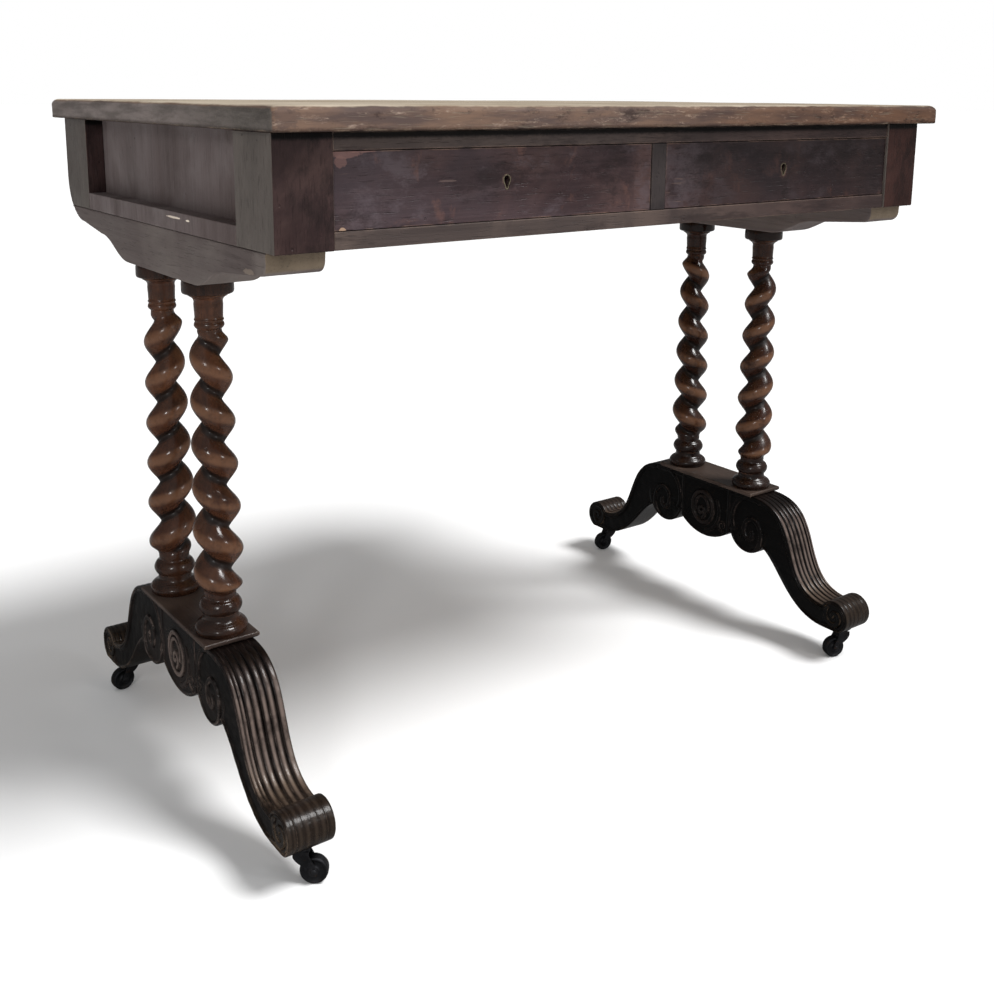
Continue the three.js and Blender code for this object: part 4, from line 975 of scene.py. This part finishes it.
FOOT_ROWS = [("line", 25.6, 0), ("line", 26.2, 0.8), ("line", 26.4, 1.6), ("bead", 24.6, 10.4),
             ("line", 23.2, 11.2), ("line", 22.6, 11.8), ("cove", 18.2, 20), ("line", 18.2, 21.2),
             ("line", 19.8, 22.2), ("bead", 19.6, 35), ("line", 17.4, 36.6), ("cove", 16.5, 40.6)]
HEAD_ROWS = [("line", 12.2, 516.6), ("cove", 12.6, 518.2), ("line", 13.4, 518.8), ("bead", 14.4, 524.4),
             ("line", 13.9, 525), ("line", 13.9, 526), ("line", 14.5, 526.6), ("bead", 14.5, 528.2),
             ("line", 14.0, 528.9), ("line", 14.2, 535), ("line", 14.6, 543), ("cove", 18, 551),
             ("line", 19.2, 551.6), ("bead", 19.4, 553.2), ("line", 23.2, 553.8), ("bead", 25.8, 556.6),
             ("line", 25.8, 564), ("line", 25.2, 567.9)]
# Ends of the twisted shaft, its radii at foot and head, and how far one turn of the twist climbs
SHAFT = (237.0, 516.2)
RIDGE, GROOVE, NECK = (26.7, 20.2), (12.9, 8.4), (16.5, 12.2)
TWIST_RISE = 45.6
# Handedness of the twist, and the angle of its ridge at mid height
TWISTS = {"left_front": (-1, -26), "left_rear": (1, 42), "right_front": (1, -183), "right_rear": (-1, 97)}


def column(name, side, front, handed, ridge_angle, around=120):
    """The shaft's radius follows half the angle from a ridge that climbs round it: wide at the
    ridge, with a sharp line opposite. Foot and head are turned."""
    theta = np.linspace(0, 2 * math.pi, around + 1)
    bottom, top = SHAFT
    z = np.linspace(bottom, top, 340)[1:-1]
    share = ((z - bottom) / (top - bottom))[:, None]
    turn = math.radians(ridge_angle) * handed + 2 * math.pi * (z - (bottom + top) / 2) / TWIST_RISE
    fade = smooth_step(np.minimum(z - bottom, top - z), 0, 13)[:, None]
    ridge, groove, neck = (between(radii, share) for radii in (RIDGE, GROOVE, NECK))
    lobe = abs(np.cos((theta[None] - turn[:, None]) / 2)) ** 1.35
    shaft = neck * (1 - fade) + (groove + (ridge - groove) * lobe) * fade
    foot, head = turned_path(FOOT_ROWS), turned_path(HEAD_ROWS)
    foot[:, 1] += BASE_TOP + SEAM
    pole = np.zeros((1, around + 1))
    radius = np.concatenate([pole, np.repeat(foot[:, :1], around + 1, 1), shaft,
                             np.repeat(head[:, :1], around + 1, 1), pole])
    heights = np.concatenate([[BASE_TOP + SEAM], foot[:, 1], z, head[:, 1], [head[-1, 1]]])
    grid = np.stack([side * COLUMN_X + radius * np.cos(theta),
                     front * COLUMN_Y + handed * radius * np.sin(theta),
                     np.repeat(heights[:, None], around + 1, 1)], -1)
    grid[:, -1] = grid[:, 0]
    deep, high = np.zeros_like(radius), np.zeros_like(radius)
    twisted = slice(1 + len(foot), 1 + len(foot) + len(z))
    # Painted shade with dark wax in the grooves of the twist, and rubbed wood on its ridges.
    deep[twisted] = fade * np.clip(1.1 - lobe * 2.2, 0, 1)
    high[twisted] = fade * smooth_step(lobe, 0.8, 1.0) * 0.7
    piece(f"{name}_barley_twist", [grid], COLUMN_WOOD, "frame", [f"{name}_column"],
          {"hollow": [deep], "rubbed": [high]}, crease=50)


# Castors

def turned_grid(profile, sides):
    """A profile of radius and height swept round the upright axis."""
    theta = np.linspace(0, 2 * math.pi, sides + 1)
    grid = np.stack([profile[:, :1] * np.cos(theta), profile[:, :1] * np.sin(theta),
                     np.repeat(profile[:, 1:], sides + 1, 1)], -1)
    grid[:, -1] = grid[:, 0]
    return grid


def axle_grid(profile, sides):
    """A turned shape laid on the wheel's axle: the profile gives radius and place across."""
    grid = turned_grid(profile, sides)
    return np.stack([grid[..., 0] + TRAIL, grid[..., 2], grid[..., 1] + WHEEL_RADIUS], -1)


def cheek_grid(inner, outer):
    """One side plate of a fork: an outline from the crown down to the eye, between two planes. Its
    faces are rings that shrink to the middle, and a slight bevel joins them to the rim."""
    rear_edge = bend((-7.8, 31), (-6, 24), (4, 20), (8.2, 16.5), 14)
    eye = arc((TRAIL, WHEEL_RADIUS), 4.6, 150, 360, 26)
    outline = along(np.concatenate([[[-7.6, 36]], rear_edge, eye, [[8.2, 31], [7.8, 36]]]), 90)
    middle = np.array([[outline[:, 0].mean(), outline[:, 1].mean()]])
    closed = np.concatenate([outline, outline[:1]])
    shares = (0, 0.5, 0.96, 1, 1, 0.96, 0.5, 0)
    bevel = 0.3 * np.sign(outer - inner)
    depths = (inner, inner, inner, inner + bevel, outer - bevel, outer, outer, outer)
    rings = [middle + (closed - middle) * share for share in shares]
    return np.stack([np.column_stack([r[:, 0], np.full(len(r), d), r[:, 1]]) for r, d in zip(rings, depths)])


def both_sides(half):
    """A profile followed by its mirror image across the middle."""
    half = np.array(half, float)
    return np.concatenate([half, half[::-1] * (1, -1)])


PLATE_PROFILE = np.array([[0, 41.6], [11, 41.6], [12, 41.1], [12, 39.8], [11.3, 39.2], [3.5, 39.2], [3.5, 30],
                          [4.4, 30], [4.6, 29.5], [4.4, 28.8], [3, 28.7], [0, 28.7]], float)
CROWN_PROFILE = np.array([[3.9, 38.1], [6.6, 38.1], [7.8, 37.4], [8.2, 36], [8.2, 33], [7.7, 31.6],
                          [6.8, 31.2], [3.9, 31.2], [3.9, 38.1]], float)
WHEEL_PROFILE = both_sides([[2.4, -5.5], [4.6, -5.5], [5, -5.2], [5.3, -4.4], [7, -3.7], [9.6, -3.8],
                            [11, -4.4], [11.8, -5.2], [12.4, -5.5], [13.2, -5.2], [13.8, -4.2], [14, -2.4]])
WHEEL_PROFILE = np.concatenate([WHEEL_PROFILE, WHEEL_PROFILE[:1]])
AXLE_PROFILE = both_sides([[0, -9.3], [1.6, -9.2], [2.8, -8.9], [3.4, -8.3], [3.4, -8], [2, -8]])
# Faces of a fork's side plates, out from its middle
CHEEK = (6.1, 8.1)
# Where each castor trails, in degrees
TRAILS = {"left_front": -36, "right_front": 160, "left_rear": 188, "right_rear": 170}


def castor(name, side, front):
    """Plate and pin on the leg, a forked yoke that turns on the pin, and a dished wheel."""
    angle = math.radians(TRAILS[name])
    turn = np.array([[math.cos(angle), -math.sin(angle), 0], [math.sin(angle), math.cos(angle), 0],
                     [0, 0, 1]])
    yoke = [turned_grid(CROWN_PROFILE, 40), cheek_grid(*CHEEK), cheek_grid(-CHEEK[0], -CHEEK[1]),
            axle_grid(AXLE_PROFILE, 28)]
    for word, node, body, grids in (
            ("seat_plate", "castor_plate", "frame", [turned_grid(PLATE_PROFILE, 40)]),
            ("yoke", "castor_fork", f"{name}_fork", yoke),
            ("dished_wheel", "castor_wheel", f"{name}_wheel", [axle_grid(WHEEL_PROFILE, 56)])):
        placed = [g @ turn.T + (side * COLUMN_X, front * CASTOR_OUT, 0) for g in grids]
        piece(f"{name}_{word}", placed, IRON, body, [f"{name}_{node}"], crease=50)


# The whole table

top_board()
for word, side in (("left", -1), ("right", 1)):
    apron(word, side)
    centre_block(word, side)
    drawer = f"{word}_drawer"
    for node, material, slot, body, arris in (
            ("front_post", POST_WOOD, "case_wood", "frame", 1.2),
            ("rear_post", POST_WOOD, "case_wood", "frame", 1.2),
            ("end_panel", END_WOOD, "case_wood", "frame", 0.6),
            ("end_rail", END_WOOD, "case_wood", "frame", 1.2),
            ("base_slab", SLAB_WOOD, "base_wood", "frame", 0.8),
            ("runner", INSIDE_WOOD, "inside_wood", "frame", 0.7),
            ("kicker", INSIDE_WOOD, "inside_wood", "frame", 0.7),
            ("drawer_front", DRAWER_WOOD, "drawer_wood", drawer, 0.9),
            ("drawer_side_1", INSIDE_WOOD, "inside_wood", drawer, 0.5),
            ("drawer_side_2", INSIDE_WOOD, "inside_wood", drawer, 0.5),
            ("drawer_back", INSIDE_WOOD, "inside_wood", drawer, 0.5),
            ("drawer_base", INSIDE_WOOD, "inside_wood", drawer, 0.5),
            ("escutcheon", BRASS, "brass", drawer, 0.15),
            ("lock_case", IRON, "iron", drawer, 0.3),
            ("lock_bolt", BRASS, "brass", f"{word}_bolt", 0.5)):
        softened(f"{word}_{node}", material, body, arris)
softened("front_top_rail", RAIL_WOOD, "frame", 1.0)
softened("front_bottom_rail", RAIL_WOOD, "frame", 1.0)
softened("front_muntin", MUNTIN_WOOD, "frame", 1.0)
softened("back_board", BACK_WOOD, "frame", 0.8)
softened("centre_runner", INSIDE_WOOD, "frame", 0.7)
for number, (name, side, front) in enumerate(CORNERS):
    leg(name.split("_")[0], side, front, 20 + number * 7)
    column(name, side, front, *TWISTS[name])
    castor(name, side, front)


# Floor, light and camera

FLOOR_REACH = 60
FLOOR_MIRRORED = 0.22
ROOM_LOW, ROOM_HIGH = 0.2, 0.55
ROOM_MIRRORED = 0.6


def neutral(value):
    """A neutral colour."""
    return (value, value, value, 1)


def floor():
    """A wide pale floor. Polished surfaces mirror it darker, as under a softbox in a dark room."""
    made, tree, sockets = new_material("pale floor", Roughness=0.9, Specular_IOR_Level=0.1)
    cloud = noise(tree, put(tree, "ShaderNodeTexCoord").outputs["Object"], 0.7, 2.0)
    mirrored = put(tree, "ShaderNodeLightPath").outputs["Is Glossy Ray"]
    pale = mix(tree, mirrored, mix(tree, cloud, neutral(0.84), neutral(0.87)), neutral(FLOOR_MIRRORED))
    tree.links.new(pale, sockets["Base Color"])
    mesh = bpy.data.meshes.new("floor")
    corners = [(x * FLOOR_REACH, y * FLOOR_REACH, 0) for x, y in ((-1, -1), (1, -1), (1, 1), (-1, 1))]
    mesh.from_pydata(corners, [], [(0, 1, 2, 3)])
    mesh.materials.append(made)
    ground = bpy.data.objects.new("floor", mesh)
    bpy.context.scene.collection.objects.link(ground)


def room_light():
    """Pale light from all round, stronger from the front and from above. The camera sees white."""
    world = bpy.data.worlds.new("room")
    bpy.context.scene.world = world
    world.use_nodes = True
    tree = world.node_tree
    tree.nodes.clear()
    way = put(tree, "ShaderNodeTexCoord").outputs["Generated"]
    towards = vector_result(tree, "DOT_PRODUCT", way, (-0.1, -0.75, 0.65))
    path = put(tree, "ShaderNodeLightPath").outputs
    mirrored = ramp(tree, path["Is Glossy Ray"], 0.0, 1.0, 1.0, ROOM_MIRRORED)
    soft = times(tree, ramp(tree, towards, -0.5, 1.0, ROOM_LOW, ROOM_HIGH), mirrored)
    strength = result(tree, "MAXIMUM", soft, path["Is Camera Ray"])
    back = put(tree, "ShaderNodeBackground", {"Color": neutral(1), "Strength": strength})
    put(tree, "ShaderNodeOutputWorld", {"Surface": back.outputs[0]})


def lamp(name, kind, strength, place, aim, **settings):
    """A lamp at a place, turned towards an aim."""
    data = bpy.data.lights.new(name, kind)
    data.energy = strength
    for word, value in settings.items():
        setattr(data, word, value)
    made = bpy.data.objects.new(name, data)
    made.location = place
    made.rotation_euler = (Vector(aim) - Vector(place)).to_track_quat("-Z", "Y").to_euler()
    bpy.context.scene.collection.objects.link(made)


def camera():
    """The photo's viewing angle: 36 degrees to the left of square on, looking 11 degrees down."""
    pitch, azimuth, roll = (math.radians(a) for a in (-11.451, 36.326, 0.459))
    ahead = Vector((math.sin(azimuth) * math.cos(pitch), math.cos(azimuth) * math.cos(pitch),
                    math.sin(pitch)))
    right = Vector((math.cos(azimuth), -math.sin(azimuth), 0))
    up = right.cross(ahead)
    across = math.cos(roll) * right + math.sin(roll) * up
    upright = -math.sin(roll) * right + math.cos(roll) * up
    data = bpy.data.cameras.new("camera")
    data.lens = 42.755
    data.shift_y = -0.1653
    data.clip_start = 0.05
    made = bpy.data.objects.new("camera", data)
    turn = Matrix((across, upright, -ahead)).transposed().to_4x4()
    made.matrix_world = Matrix.Translation((-0.8628, -1.1673, 0.7498)) @ turn
    bpy.context.scene.collection.objects.link(made)
    bpy.context.scene.camera = made


floor()
room_light()
lamp("key", "SUN", 3.4, (1.26, -1.44, 3.0), (0, 0, 0), angle=math.radians(21))
lamp("window left", "AREA", 11, (-1.9, -1.7, 1.5), (-0.3, 0, 0.45), size=0.35, shape="SQUARE")
lamp("window right", "AREA", 6, (0.9, -2.1, 1.3), (0, 0, 0.4), size=0.35, shape="SQUARE")
camera()
bpy.context.scene.view_settings.view_transform = "Standard"
